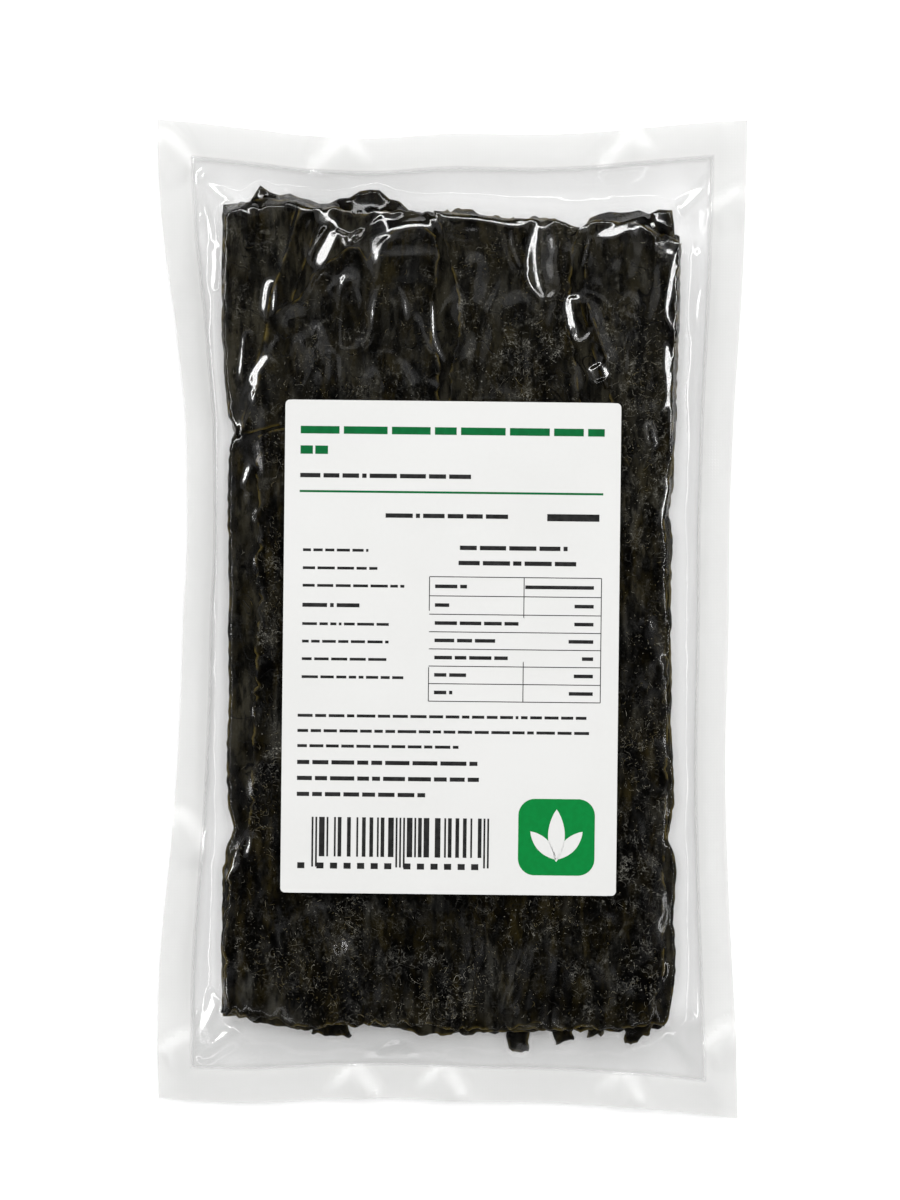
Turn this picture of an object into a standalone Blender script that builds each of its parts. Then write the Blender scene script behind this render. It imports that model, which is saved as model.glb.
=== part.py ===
"""A vacuum-sealed pouch of dried kelp sheets with a paper label on its front.

The pouch lies on its back, label up. X runs across it, Y along it towards the end where the sheets'
torn ends stand out, and Z is up. The origin is at the middle of its box, on the surface it lies on.
There are two solids: the clear pouch with the stack of sheets that fills it, and the label.
Sizes are in metres, and in tables in millimetres.
"""

import bmesh
import bpy
import numpy as np
from mathutils import Matrix, Vector

MM = 0.001

# The four outer edges of the pouch, drawn in where the stack takes up the film. Each is a smooth
# curve through points in mm: (place along the edge, place across it).
LEFT_EDGE = [(-121, -74.2), (-101, -74.4), (-50, -70.4), (0, -68.0),
             (34, -67.0), (71, -69.5), (105, -73.7), (126, -74.5)]
RIGHT_EDGE = [(-126, 72.0), (-100, 71.2), (-70, 69.7), (0, 69.7), (45, 70.7), (90, 73.4), (126, 74.5)]
BOTTOM_EDGE = [(-74, -120.9), (-60, -122.0), (-28, -121.0), (8, -121.9), (40, -123.0), (72, -126.1)]
TOP_EDGE = [(-74, 126.1), (-48, 123.3), (-35, 121.8), (0, 122.5), (33, 122.6), (56, 124.6), (74, 125.9)]

SEAL_WIDTH = 9.4 * MM
SEAL_THICKNESS = 0.4 * MM
SEAL_DRAWN_IN = 0.25        # share of an edge's draw that narrows the seal as seen from above

# The stack of sheets, wrapped in film
STACK_LEFT = -56.6 * MM
STACK_RIGHT = 56.2 * MM
STACK_BOTTOM = -101.5 * MM
STACK_TOP = 103.0 * MM
STACK_HEIGHT = 11.0 * MM
CROWN = 1.1 * MM            # the middle stands this much higher than the stack's rim
LEAN = (-0.3 * MM, 0.5 * MM)  # rise from the middle to the right side and to the top end
SHOULDER = 5.0 * MM         # width over which the top rounds off towards the rim
SHOULDER_DROP = 2.2 * MM

SEAM_HEIGHT = 4.3 * MM      # the two films meet this high at the inner line of the seal
RIM_HEIGHT = 2.0 * MM       # and droop to this height at the pouch's outer edge
TENT_POWER = 2.1            # how hollow the film hangs between the stack and the seal
CORNER_CREASE = 1.3 * MM    # rise of the crease from each corner of the stack to the seal's corner
CREASE_SPREAD = 0.22        # its half width, as a share of the tent

# Ripples that run across the seal and grow towards the rim, in mm: (place along it, half width, rise)
TOP_RIPPLES = [(-66, 6, 1.7), (-33, 7, 1.3), (-8, 9, -0.7), (39, 7, 1.5), (66, 7, 0.9)]
BOTTOM_RIPPLES = [(-62, 8, -0.8), (-24, 6, 1.5), (1, 6, 1.6), (24, 9, -0.9), (47, 6, 1.6), (68, 6, -0.7)]
LEFT_RIPPLES = [(-106, 5, 1.4), (-54, 7, 1.7), (-20, 14, -0.7), (30, 16, 0.6), (74, 9, -0.8), (112, 8, 1.2)]
RIGHT_RIPPLES = [(-104, 6, 1.6), (-62, 14, -0.7), (-10, 18, 0.6), (42, 10, -0.8), (80, 8, 0.7), (107, 6, 1.5)]

# Folds of the sheets that the film follows, in mm: both ends, half width and rise. A negative rise
# is a slit or a hollow between two sheets.
FOLDS = [
    ((-36, 103), (-46, 77), 3.0, 1.5),    # raised pleat at the upper left
    ((-28, 95), (-38, 66), 3.2, -1.0),    # hollow beside it
    ((-50, 98), (-53, 52), 4.0, -0.8),    # inner side of the left flap
    ((-22, 99), (-24, 74), 7.0, 0.7),     # bulge by the pleat
    ((-2, 93), (-3, 60), 2.6, -1.5),      # slit that shows an inner sheet
    ((15, 101), (25, 76), 4.0, 0.9),      # curled edge at the upper middle
    ((34, 101), (37, 58), 3.4, -1.3),     # valley left of the right-hand fold
    ((47, 96), (45, 60), 8.0, 0.8),       # crown of the right-hand fold
    ((53, 92), (53, 50), 2.4, -0.7),      # dent along the right side
    ((-33, -71), (-18, -101), 2.6, 0.8),  # diagonal vein at the lower left
    ((17, -84), (12, -101), 2.6, 0.9),    # short vein at the lower middle
    ((-50, -66), (-43, -100), 4.0, 0.6),  # lower left fold
    ((50, -58), (55, -96), 3.0, -0.8),    # turned edge at the lower right
]
# Nicks in the stack's long sides, in mm: side (-1 left, 1 right), place along it, half width, depth
NICKS = [(-1, 46, 5, 1.6), (-1, -53, 4, 1.8), (1, 70, 4, 1.2), (1, 27, 4, 1.0), (1, -54.5, 4, 1.8)]
SIDE_WAVER = (0.5 * MM, 8.7 * MM)                    # depth and pitch of the sides' slight waver
END_WAVERS = [(0.9 * MM, 6.1 * MM), (0.6 * MM, 2.9 * MM)]  # and of the torn ends'
END_SLANT = 0.012           # the ends fall away to the right at this slope
BUCKLE = (0.35 * MM, 5.3 * MM, 9.1 * MM)             # rise and pitches of the sheets' slow buckling

LABEL_WIDTH = 84.2 * MM
LABEL_LENGTH = 123.6 * MM
LABEL_THICKNESS = 0.3 * MM
LABEL_CORNER = 1.2 * MM
LABEL_CENTRE = Vector((-0.4, -7.2)) * MM
LABEL_TURN = -0.011         # radians, clockwise as seen from above
LABEL_GAP = 0.3 * MM        # clearance between the label and the film
FLAT_MARGIN = 2.5 * MM      # the film stays flat this far round the label
FLAT_FADE = 5.0 * MM        # and the folds grow to full height over this distance

SEAL_CELLS = 4
TENT_CELLS = 5
STACK_CELLS = (25, 38)
CELLS_DRAWN_OUT = 0.25      # cells on the stack are this much wider in its middle than on average
LABEL_CELLS = (14, 20)
PLAN_STEPS = 4              # passes that settle the plan, as each edge bends with the other axis
SHARP_ANGLE = np.radians(50)


def curve_through(points):
    """A smooth curve through (place, value) points in millimetres, as a function of metres."""
    place, value = np.array(points, float).T * MM
    slope = np.gradient(value, place)

    def at(t):
        t = np.clip(t, place[0], place[-1])
        i = np.clip(np.searchsorted(place, t) - 1, 0, len(place) - 2)
        width = place[i + 1] - place[i]
        share = (t - place[i]) / width
        from_start = value[i] + share * width * slope[i]
        from_end = value[i + 1] - (1 - share) * width * slope[i + 1]
        return from_start + (from_end - from_start) * smooth_step(share)

    return at


def smooth_step(t):
    t = np.clip(t, 0, 1)
    return t * t * (3 - 2 * t)


def bell(distance, half_width):
    return np.exp(-((distance / half_width) ** 2))


left_edge = curve_through(LEFT_EDGE)
right_edge = curve_through(RIGHT_EDGE)
bottom_edge = curve_through(BOTTOM_EDGE)
top_edge = curve_through(TOP_EDGE)


def ripples(place, table):
    """Height of the seal's ripples at a place along one edge."""
    return sum(rise * MM * bell(place - at * MM, width * MM) for at, width, rise in table)


def distance_to_line(x, y, start, end):
    """Distance from (x, y) to the straight line between two points in millimetres, in metres."""
    (ax, ay), (bx, by) = np.array(start) * MM, np.array(end) * MM
    run_x, run_y = bx - ax, by - ay
    along = np.clip(((x - ax) * run_x + (y - ay) * run_y) / (run_x**2 + run_y**2), 0, 1)
    return np.hypot(x - ax - along * run_x, y - ay - along * run_y)


def outside_label(x, y):
    """0 under the label, growing to 1 past the flat margin around it."""
    cosine, sine = np.cos(LABEL_TURN), np.sin(LABEL_TURN)
    dx, dy = x - LABEL_CENTRE.x, y - LABEL_CENTRE.y
    across, along = dx * cosine + dy * sine, dy * cosine - dx * sine
    over = np.hypot(
        np.maximum(np.abs(across) - LABEL_WIDTH / 2 - FLAT_MARGIN, 0),
        np.maximum(np.abs(along) - LABEL_LENGTH / 2 - FLAT_MARGIN, 0),
    )
    return smooth_step(over / FLAT_FADE)


def crown(x, y):
    """Height of the stack's smooth top, which the label follows."""
    across = (x - STACK_LEFT) / (STACK_RIGHT - STACK_LEFT) * 2 - 1
    along = (y - STACK_BOTTOM) / (STACK_TOP - STACK_BOTTOM) * 2 - 1
    dome = np.clip(1 - across**2, 0, 1) * np.clip(1 - along**2, 0, 1)
    return STACK_HEIGHT + CROWN * dome + LEAN[0] * across + LEAN[1] * along


def relief(x, y):
    """Folds and hollows of the sheets, as heights above the crown."""
    folds = sum(
        rise * MM * bell(distance_to_line(x, y, start, end), width * MM)
        for start, end, width, rise in FOLDS
    )
    rise, pitch_x, pitch_y = BUCKLE
    buckle = rise * np.sin(x / pitch_x + np.sin(y / pitch_y)) * np.sin(y / pitch_y)
    return (folds + buckle) * outside_label(x, y)


def stack_side(side, y):
    """Place of the stack's left (-1) or right (1) side at y, with its nicks."""
    depth, pitch = SIDE_WAVER
    edge = (STACK_LEFT if side < 0 else STACK_RIGHT) + depth * np.sin(y / pitch + side)
    nicks = sum(
        depth * MM * bell(y - at * MM, width * MM)
        for where, at, width, depth in NICKS
        if where == side
    )
    return edge - side * nicks


def stack_end(side, x):
    """Place of the stack's bottom (-1) or top (1) end at x."""
    edge = (STACK_BOTTOM if side < 0 else STACK_TOP) - END_SLANT * x
    return edge + sum(depth * np.sin(x / pitch + side) for depth, pitch in END_WAVERS)


def cell_lines(stack_cells):
    """Cell borders along one axis, as numbers that count the pouch's own lines from its middle: 3 is
    the outer edge, 2 the inner line of the seal and 1 the stack's rim, with minus on the other side."""
    seal = np.linspace(3, 2, SEAL_CELLS + 1)[:-1]
    tent = 1 + np.linspace(1, 0, TENT_CELLS + 1)[:-1] ** 1.5
    stack = np.linspace(-1, 1, stack_cells + 1)
    stack = stack * (1 + CELLS_DRAWN_OUT - CELLS_DRAWN_OUT * stack**2)
    beyond = np.concatenate([seal, tent])
    return np.concatenate([-beyond, stack, beyond[::-1]])


def place_between(lines, places):
    """Places of counted lines, from the places of lines -3, -2, -1, 1, 2 and 3 at each point."""
    counted = (-3, -2, -1, 1, 2, 3)
    return np.array([np.interp(line, counted, here) for line, here in zip(lines, places)])


def plan_of_grid(across, along):
    """X and Y of every grid point. The grid follows the outer edges, the seal and the stack's rim."""
    x, y = np.zeros(len(across)), np.zeros(len(along))
    for _ in range(PLAN_STEPS):
        low_x, high_x = left_edge(y), right_edge(y)
        low_y, high_y = bottom_edge(x), top_edge(x)
        drawn_left, drawn_right = low_x - left_edge(np.inf), right_edge(np.inf) - high_x
        seal_left = low_x + SEAL_WIDTH - SEAL_DRAWN_IN * drawn_left
        seal_right = high_x - SEAL_WIDTH + SEAL_DRAWN_IN * drawn_right
        sides = [low_x, seal_left, stack_side(-1, y), stack_side(1, y), seal_right, high_x]
        ends = [low_y, low_y + SEAL_WIDTH, stack_end(-1, x), stack_end(1, x), high_y - SEAL_WIDTH, high_y]
        x = place_between(across, np.stack(sides, axis=-1))
        y = place_between(along, np.stack(ends, axis=-1))
    return x, y


def seam_height(x, y, across, along):
    """Height at which the two films meet, with the droop and the ripples of the seal."""
    out_x = np.clip(np.abs(across) - 2, 0, 1)
    out_y = np.clip(np.abs(along) - 2, 0, 1)
    droop = (SEAM_HEIGHT - RIM_HEIGHT) * smooth_step(np.maximum(out_x, out_y))
    wave_x = np.where(across < 0, ripples(y, LEFT_RIPPLES), ripples(y, RIGHT_RIPPLES))
    wave_y = np.where(along < 0, ripples(x, BOTTOM_RIPPLES), ripples(x, TOP_RIPPLES))
    return SEAM_HEIGHT - droop + out_x * wave_x + out_y * wave_y


def film_heights(x, y, across, along):
    """Heights of the pouch's back and front films at every grid point."""
    beyond_x = np.clip(np.abs(across) - 1, 0, 1)
    beyond_y = np.clip(np.abs(along) - 1, 0, 1)
    tent = np.clip(np.hypot(beyond_x, beyond_y), 0, 1)
    hang = (1 - tent) ** TENT_POWER
    crease = CORNER_CREASE * bell(beyond_x - beyond_y, CREASE_SPREAD) * 4 * tent * (1 - tent)

    inside_x = np.minimum(x - stack_side(-1, y), stack_side(1, y) - x)
    inside_y = np.minimum(y - stack_end(-1, x), stack_end(1, x) - y)
    rim = np.clip(1 - np.minimum(inside_x, inside_y) / SHOULDER, 0, 1)
    top = crown(x, y) + relief(x, y) - SHOULDER_DROP * rim**2

    seam = seam_height(x, y, across, along)
    seam_back, seam_front = seam - SEAL_THICKNESS / 2, seam + SEAL_THICKNESS / 2
    return seam_back * (1 - hang), seam_front + (top - seam_front) * hang + crease


def slab(cells):
    """A flat slab of grid cells with its corners at -1 and 1, as (bmesh, back points, front points)."""
    work = bmesh.new()
    bmesh.ops.create_grid(work, x_segments=cells[0], y_segments=cells[1], size=1)
    back = list(work.verts)
    raised = bmesh.ops.extrude_face_region(work, geom=list(work.faces), use_keep_orig=True)
    front = [v for v in raised["geom"] if isinstance(v, bmesh.types.BMVert)]
    bmesh.ops.translate(work, vec=(0, 0, 1), verts=front)
    bmesh.ops.recalc_face_normals(work, faces=list(work.faces))
    return work, back, front


def object_from(name, work, material):
    """The finished object: the bmesh as a smooth-shaded mesh with its material."""
    mesh = bpy.data.meshes.new(name)
    work.to_mesh(mesh)
    work.free()
    mesh.materials.append(material)
    mesh.shade_smooth()
    mesh.set_sharp_from_angle(angle=SHARP_ANGLE)
    obj = bpy.data.objects.new(name, mesh)
    collection.objects.link(obj)
    return obj


def new_material(name, colour, roughness):
    material = bpy.data.materials.new(name)
    material.use_nodes = True
    surface = material.node_tree.nodes["Principled BSDF"]
    surface.inputs["Base Color"].default_value = (*colour, 1)
    surface.inputs["Roughness"].default_value = roughness
    surface.inputs["Metallic"].default_value = 0
    return material


def make_pouch():
    """The sealed pouch: a slab of grid cells drawn to the pouch's plan, its faces the two films."""
    columns, rows = cell_lines(STACK_CELLS[0]), cell_lines(STACK_CELLS[1])
    cells = len(columns) - 1, len(rows) - 1
    work, back, front = slab(cells)
    for film, points in enumerate((back, front)):
        flat = np.array([v.co[:2] for v in points])
        step = np.rint((flat + 1) / 2 * cells).astype(int)
        across, along = columns[step[:, 0]], rows[step[:, 1]]
        x, y = plan_of_grid(across, along)
        z = film_heights(x, y, across, along)[film]
        for vert, place in zip(points, np.stack([x, y, z], axis=1)):
            vert.co = place
    return object_from("pouch", work, new_material("kelp_in_clear_film", (0.035, 0.034, 0.026), 0.25))


def make_label():
    """The paper label: a thin slab with trimmed corners that follows the stack's crown."""
    work, back, front = slab(LABEL_CELLS)
    half = np.array([LABEL_WIDTH, LABEL_LENGTH]) / 2
    turn = Matrix.Rotation(LABEL_TURN, 2)
    for points, rise in ((back, LABEL_GAP), (front, LABEL_GAP + LABEL_THICKNESS)):
        for vert in points:
            place = np.array(vert.co[:2]) * half
            at_corner = (np.abs(place) > half - LABEL_CORNER).all()
            place -= np.sign(place) * (LABEL_CORNER * (1 - np.sqrt(0.5)) if at_corner else 0)
            spot = turn @ Vector(place) + LABEL_CENTRE
            vert.co = (spot.x, spot.y, crown(spot.x, spot.y) + rise)
    return object_from("label", work, new_material("label_paper", (0.88, 0.88, 0.86), 0.55))


for old in list(bpy.data.objects):
    bpy.data.objects.remove(old)
collection = bpy.data.collections.new("kelp_pouch")
bpy.context.scene.collection.children.link(collection)
make_pouch()
make_label()
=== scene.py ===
"""Looks of a vacuum-sealed pouch of dried kelp sheets with a paper label.

The pouch lies on its back, label up: X runs across it, Y along it and Z up. All shapes are worked
out in millimetres and become metres when their mesh is made. The kelp is a stack of thin blades, each
a closed grid between four edge curves. The film is a height map that is pulled tight over them.
"""

import bpy
import numpy as np
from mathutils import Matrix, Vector


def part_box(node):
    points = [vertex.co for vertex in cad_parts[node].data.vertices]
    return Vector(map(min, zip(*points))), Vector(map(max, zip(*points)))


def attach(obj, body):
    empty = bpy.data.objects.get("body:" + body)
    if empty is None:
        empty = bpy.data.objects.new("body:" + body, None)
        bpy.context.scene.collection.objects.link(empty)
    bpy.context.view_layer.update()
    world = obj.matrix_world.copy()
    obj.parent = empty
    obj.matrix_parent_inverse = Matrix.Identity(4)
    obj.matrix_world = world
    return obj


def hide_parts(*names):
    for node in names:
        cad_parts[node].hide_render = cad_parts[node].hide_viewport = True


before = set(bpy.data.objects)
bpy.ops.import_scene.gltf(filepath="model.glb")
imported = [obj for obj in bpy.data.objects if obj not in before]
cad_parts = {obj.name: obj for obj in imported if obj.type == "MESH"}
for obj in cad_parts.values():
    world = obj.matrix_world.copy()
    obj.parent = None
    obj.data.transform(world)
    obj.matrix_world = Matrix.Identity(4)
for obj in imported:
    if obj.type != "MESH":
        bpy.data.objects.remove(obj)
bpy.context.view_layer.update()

MM = 0.001
pouch_low, pouch_high = (np.array(corner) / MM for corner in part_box("pouch"))
label_low, label_high = (np.array(corner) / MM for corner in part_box("label"))

# ---------------------------------------------------------------- the pouch's plan, as in the model
LEFT_EDGE = [(-121, -74.2), (-101, -74.4), (-50, -70.4), (0, -68.0),
             (34, -67.0), (71, -69.5), (105, -73.7), (126, -74.5)]
RIGHT_EDGE = [(-126, 72.0), (-100, 71.2), (-70, 69.7), (0, 69.7), (45, 70.7), (90, 73.4), (126, 74.5)]
BOTTOM_EDGE = [(-74, -120.9), (-60, -122.0), (-28, -121.0), (8, -121.9), (40, -123.0), (72, -126.1)]
TOP_EDGE = [(-74, 126.1), (-48, 123.3), (-35, 121.8), (0, 122.5), (33, 122.6), (56, 124.6), (74, 125.9)]
SEAL_WIDTH = 9.4
SEAL_DRAWN_IN = 0.25

STACK_LEFT, STACK_RIGHT, STACK_BOTTOM, STACK_TOP = -56.6, 56.2, -101.5, 103.0
STACK_HEIGHT = 11.0
CROWN = 1.1
LEAN = (-0.3, 0.5)

SEAM_HEIGHT = 4.3           # the two films meet this high at the inner line of the seal
RIM_HEIGHT = 3.3            # and droop to this height at the pouch's outer edge
# Ripples that run across the seal and grow towards the rim: (place along it, half width, rise)
TOP_RIPPLES = [(-66, 6, 1.7), (-33, 7, 1.3), (-8, 9, -0.7), (39, 7, 1.5), (66, 7, 0.9)]
BOTTOM_RIPPLES = [(-62, 8, -0.8), (-24, 6, 1.5), (1, 6, 1.6), (24, 9, -0.9), (47, 6, 1.6), (68, 6, -0.7)]
LEFT_RIPPLES = [(-106, 5, 1.4), (-54, 7, 1.7), (-20, 14, -0.7), (30, 16, 0.6), (74, 9, -0.8), (112, 8, 1.2)]
RIGHT_RIPPLES = [(-104, 6, 1.6), (-62, 14, -0.7), (-10, 18, 0.6), (42, 10, -0.8), (80, 8, 0.7), (107, 6, 1.5)]

LABEL_WIDTH, LABEL_LENGTH, LABEL_CORNER = 84.2, 123.6, 1.2
LABEL_CENTRE = (-0.4, -7.2)
LABEL_TURN = -0.011
LABEL_GAP = 0.3             # clearance between the smooth top of the stack and the label's back
LABEL_PAPER = 0.14

FILM_GAP = 0.12             # clearance between the film and what it lies on
MAP_STEP = 0.5              # pitch of the height maps
FILM_SAG = 9.0              # radius to which the vacuum bends the film between two supports
FLANK_SAG = 1.3             # and beside the stack, where it folds down onto the back film
BOTTOM_SAG = 14.0           # and below the stack, where it spans straight to the seal
FILM_PLY = 0.08             # thickness of one film, kept between the two where they are sealed


# ---------------------------------------------------------------- curves, maps and noise
def smooth_step(t):
    t = np.clip(t, 0, 1)
    return t * t * (3 - 2 * t)


def bell(distance, half_width):
    return np.exp(-((distance / half_width) ** 2))


def curve_through(points):
    """A smooth curve through (place, value) points, as a function."""
    place, value = np.array(points, float).T
    slope = np.gradient(value, place)

    def at(t):
        t = np.clip(t, place[0], place[-1])
        i = np.clip(np.searchsorted(place, t) - 1, 0, len(place) - 2)
        width = place[i + 1] - place[i]
        share = (t - place[i]) / width
        from_start = value[i] + share * width * slope[i]
        from_end = value[i + 1] - (1 - share) * width * slope[i + 1]
        return from_start + (from_end - from_start) * smooth_step(share)

    return at


def cubic_weights(t):
    """The four Catmull-Rom weights at shares t of a cell."""
    return (
        ((2 - t) * t - 1) * t / 2,
        ((3 * t - 5) * t * t + 2) / 2,
        ((4 - 3 * t) * t + 1) * t / 2,
        (t - 1) * t * t / 2,
    )


def read_cubic(field, column, row):
    """Values of a field at fractional grid places, smooth across its cells."""
    rows, columns = field.shape
    column = np.clip(column, 0, columns - 1.001)
    row = np.clip(row, 0, rows - 1.001)
    i, j = column.astype(int), row.astype(int)
    weights_x, weights_y = cubic_weights(column - i), cubic_weights(row - j)
    total = 0
    for dy, wy in zip((-1, 0, 1, 2), weights_y):
        line = np.clip(j + dy, 0, rows - 1)
        for dx, wx in zip((-1, 0, 1, 2), weights_x):
            total = total + wx * wy * field[line, np.clip(i + dx, 0, columns - 1)]
    return total


def noise(x, y, pitch, seed):
    """Smooth noise of about unit size whose bumps are pitch apart. pitch may be an (x, y) pair."""
    pitch_x, pitch_y = np.broadcast_to(pitch, 2)
    cells = int(420 / min(pitch_x, pitch_y)) + 8
    field = np.random.default_rng(seed).normal(size=(cells, cells))
    return read_cubic(field, (x + 160) / pitch_x % (cells - 4) + 1, (y + 160) / pitch_y % (cells - 4) + 1)


def wander(t, pitch, seed):
    """Smooth noise along a line."""
    steps = np.random.default_rng(seed).normal(size=int(420 / pitch) + 8)
    place = np.clip((np.asarray(t, float) + 160) / pitch + 1, 1, len(steps) - 3)
    cell = place.astype(int)
    return sum(w * steps[cell + k - 1] for k, w in enumerate(cubic_weights(place - cell)))


map_x, map_y = np.meshgrid(
    np.arange(pouch_low[0] - 1, pouch_high[0] + 1, MAP_STEP),
    np.arange(pouch_low[1] - 1, pouch_high[1] + 1, MAP_STEP),
)


def read_map(field, x, y):
    return read_cubic(field, (x - map_x[0, 0]) / MAP_STEP, (y - map_y[0, 0]) / MAP_STEP)


def blurred(field, radius):
    """The field, blurred with a bell of this radius in millimetres."""
    reach = int(np.ceil(2.5 * radius / MAP_STEP))
    weights = np.exp(-0.5 * (np.arange(-reach, reach + 1) * MAP_STEP / radius) ** 2)
    weights /= weights.sum()
    padded = np.pad(field, reach, mode="edge")
    wide = sum(w * padded[:, k : k + field.shape[1]] for k, w in enumerate(weights))
    return sum(w * wide[k : k + field.shape[0]] for k, w in enumerate(weights))


def smooth_path(points, spacing=1.0):
    """Points along a smooth curve through the given ones, about spacing apart."""
    points = np.array(points, float)
    if len(points) == 2:
        steps = max(2, int(np.hypot(*(points[1] - points[0])) / spacing))
        return points[0] + np.linspace(0, 1, steps + 1)[:, None] * (points[1] - points[0])
    ends = np.vstack([2 * points[0] - points[1], points, 2 * points[-1] - points[-2]])
    path = []
    for a, b, c, d in zip(ends, ends[1:], ends[2:], ends[3:]):
        steps = max(2, int(np.hypot(*(c - b)) / spacing))
        for t in np.arange(steps) / steps:
            weights = cubic_weights(t)
            path.append(a * weights[0] + b * weights[1] + c * weights[2] + d * weights[3])
    return np.array(path + [points[-1]])


def near_path(x, y, points, reach):
    """Distance to a path, its side (1 left of it, -1 right) and the share along it, for points within
    reach. Further off the distance is infinite."""
    path = smooth_path(points)
    distance = np.full(x.shape, np.inf)
    side, share = np.ones(x.shape), np.zeros(x.shape)
    low, high = path.min(0) - reach, path.max(0) + reach
    near = (x > low[0]) & (x < high[0]) & (y > low[1]) & (y < high[1])
    px, py = x[near], y[near]
    best = np.full(px.shape, np.inf)
    best_side, best_share = np.ones(px.shape), np.zeros(px.shape)
    for k, (a, b) in enumerate(zip(path, path[1:])):
        run = b - a
        along = np.clip(((px - a[0]) * run[0] + (py - a[1]) * run[1]) / (run @ run), 0, 1)
        off = np.hypot(px - a[0] - along * run[0], py - a[1] - along * run[1])
        closer = off < best
        best[closer] = off[closer]
        turn = run[0] * (py - a[1]) - run[1] * (px - a[0])
        best_side[closer] = np.sign(turn)[closer]
        best_share[closer] = (k + along[closer]) / (len(path) - 1)
    distance[near], side[near], share[near] = best, best_side, best_share
    return distance, side, share


def ridge(x, y, points, width, rise, taper=0.25, steep=0):
    """A ridge along a path that fades out at both ends. steep is its steep side: 1 left of the path,
    -1 right of it, or 0 for both. The other side slopes three times as gently."""
    distance, side, share = near_path(x, y, points, 3 * width if steep == 0 else 8 * width)
    ends = smooth_step(share / taper) * smooth_step((1 - share) / taper)
    return rise * ends * bell(distance, np.where(side * steep < 0, 3 * width, width))


CAMERA = (-0.6, 4.8, 1200)
SOFTBOX_RING = (2404, 1622)     # radius and height of the softboxes' cores


def mirror_slope(x, y, to_x, to_y):
    """How much the film has to fall in this direction to mirror a softbox into the camera."""
    half = 0
    for far_x, far_y, far_z in (CAMERA, (SOFTBOX_RING[0] * to_x, SOFTBOX_RING[0] * to_y, SOFTBOX_RING[1])):
        ray = np.array([far_x - x, far_y - y, far_z + 0 * x])
        half = half + ray / np.sqrt((ray**2).sum(0))
    return (half[0] * to_x + half[1] * to_y) / half[2]


def facet(film, floor, points, width, falls):
    """The film with a flat strip along a path, clear of the floor. It ends in points, drops to the film on
    its falling side, and runs out gently behind it."""
    path = smooth_path(points, 0.6)
    low, high = path.min(0) - 6 * width, path.max(0) + 6 * width
    near = (map_x > low[0]) & (map_x < high[0]) & (map_y > low[1]) & (map_y < high[1])
    distance, side, share = near_path(map_x[near], map_y[near], points, 6 * width)
    distance = np.minimum(distance, 6 * width)
    places = np.linspace(0, 1, len(path))
    line = read_map(film, path[:, 0], path[:, 1])
    line = np.polyval(np.polyfit(places, line, 2), places)
    run = np.gradient(path, axis=0)
    step = np.hypot(run[:, 0], run[:, 1])
    climb = np.gradient(line) / step
    run /= step[:, None]
    slope = mirror_slope(path[:, 0], path[:, 1], -run[:, 1] * falls, run[:, 0] * falls)
    slope = np.sqrt(np.maximum(slope**2 - climb**2, 0.02)) * (1 + 0.07 / width)
    line, slope = np.interp(share, places, line), np.interp(share, places, slope)
    off = distance * side * falls
    half = width / 2 * np.minimum(1, 0.2 + 4.5 * share * (1 - share))
    strip = line + slope * (half - np.clip(off, -half, None))
    over = np.where((np.abs(off) < half) & (share > 0.08) & (share < 0.92), floor[near] - strip, 0).max()
    lift = np.clip(over, 0, 1.2)
    behind = smooth_step(1 - (-off - half) / (3.2 * width + 2 * lift))
    before = smooth_step(1 - (off - half) / (width + 3 * lift))
    weight = np.where(off < 0, behind, before) * smooth_step(share / 0.12) * smooth_step((1 - share) / 0.12)
    film = film.copy()
    film[near] += weight * (strip + lift - film[near])
    return film


# ---------------------------------------------------------------- the pouch's plan and seal
left_edge = curve_through(LEFT_EDGE)
right_edge = curve_through(RIGHT_EDGE)
bottom_edge = curve_through(BOTTOM_EDGE)
top_edge = curve_through(TOP_EDGE)


def crown(x, y):
    """Height of the stack's smooth top, which the label follows."""
    across = (x - STACK_LEFT) / (STACK_RIGHT - STACK_LEFT) * 2 - 1
    along = (y - STACK_BOTTOM) / (STACK_TOP - STACK_BOTTOM) * 2 - 1
    dome = np.clip(1 - across**2, 0, 1) * np.clip(1 - along**2, 0, 1)
    return STACK_HEIGHT + CROWN * dome + LEAN[0] * across + LEAN[1] * along


def seal_lines(x, y):
    """Inner lines of the seal at each point: left, right, bottom and top."""
    low_x, high_x = left_edge(y), right_edge(y)
    drawn_left, drawn_right = low_x - left_edge(np.inf), right_edge(np.inf) - high_x
    return (
        low_x + SEAL_WIDTH - SEAL_DRAWN_IN * drawn_left,
        high_x - SEAL_WIDTH + SEAL_DRAWN_IN * drawn_right,
        bottom_edge(x) + SEAL_WIDTH,
        top_edge(x) - SEAL_WIDTH,
    )


def seal_shares(x, y):
    """How far each point is across the seal: 0 at its inner line, 1 at the rim, below 0 inside."""
    left, right, bottom, top = seal_lines(x, y)
    across = np.maximum((left - x) / (left - left_edge(y)), (x - right) / (right_edge(y) - right))
    along = np.maximum((bottom - y) / (bottom - bottom_edge(x)), (y - top) / (top_edge(x) - top))
    return across, along


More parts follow.
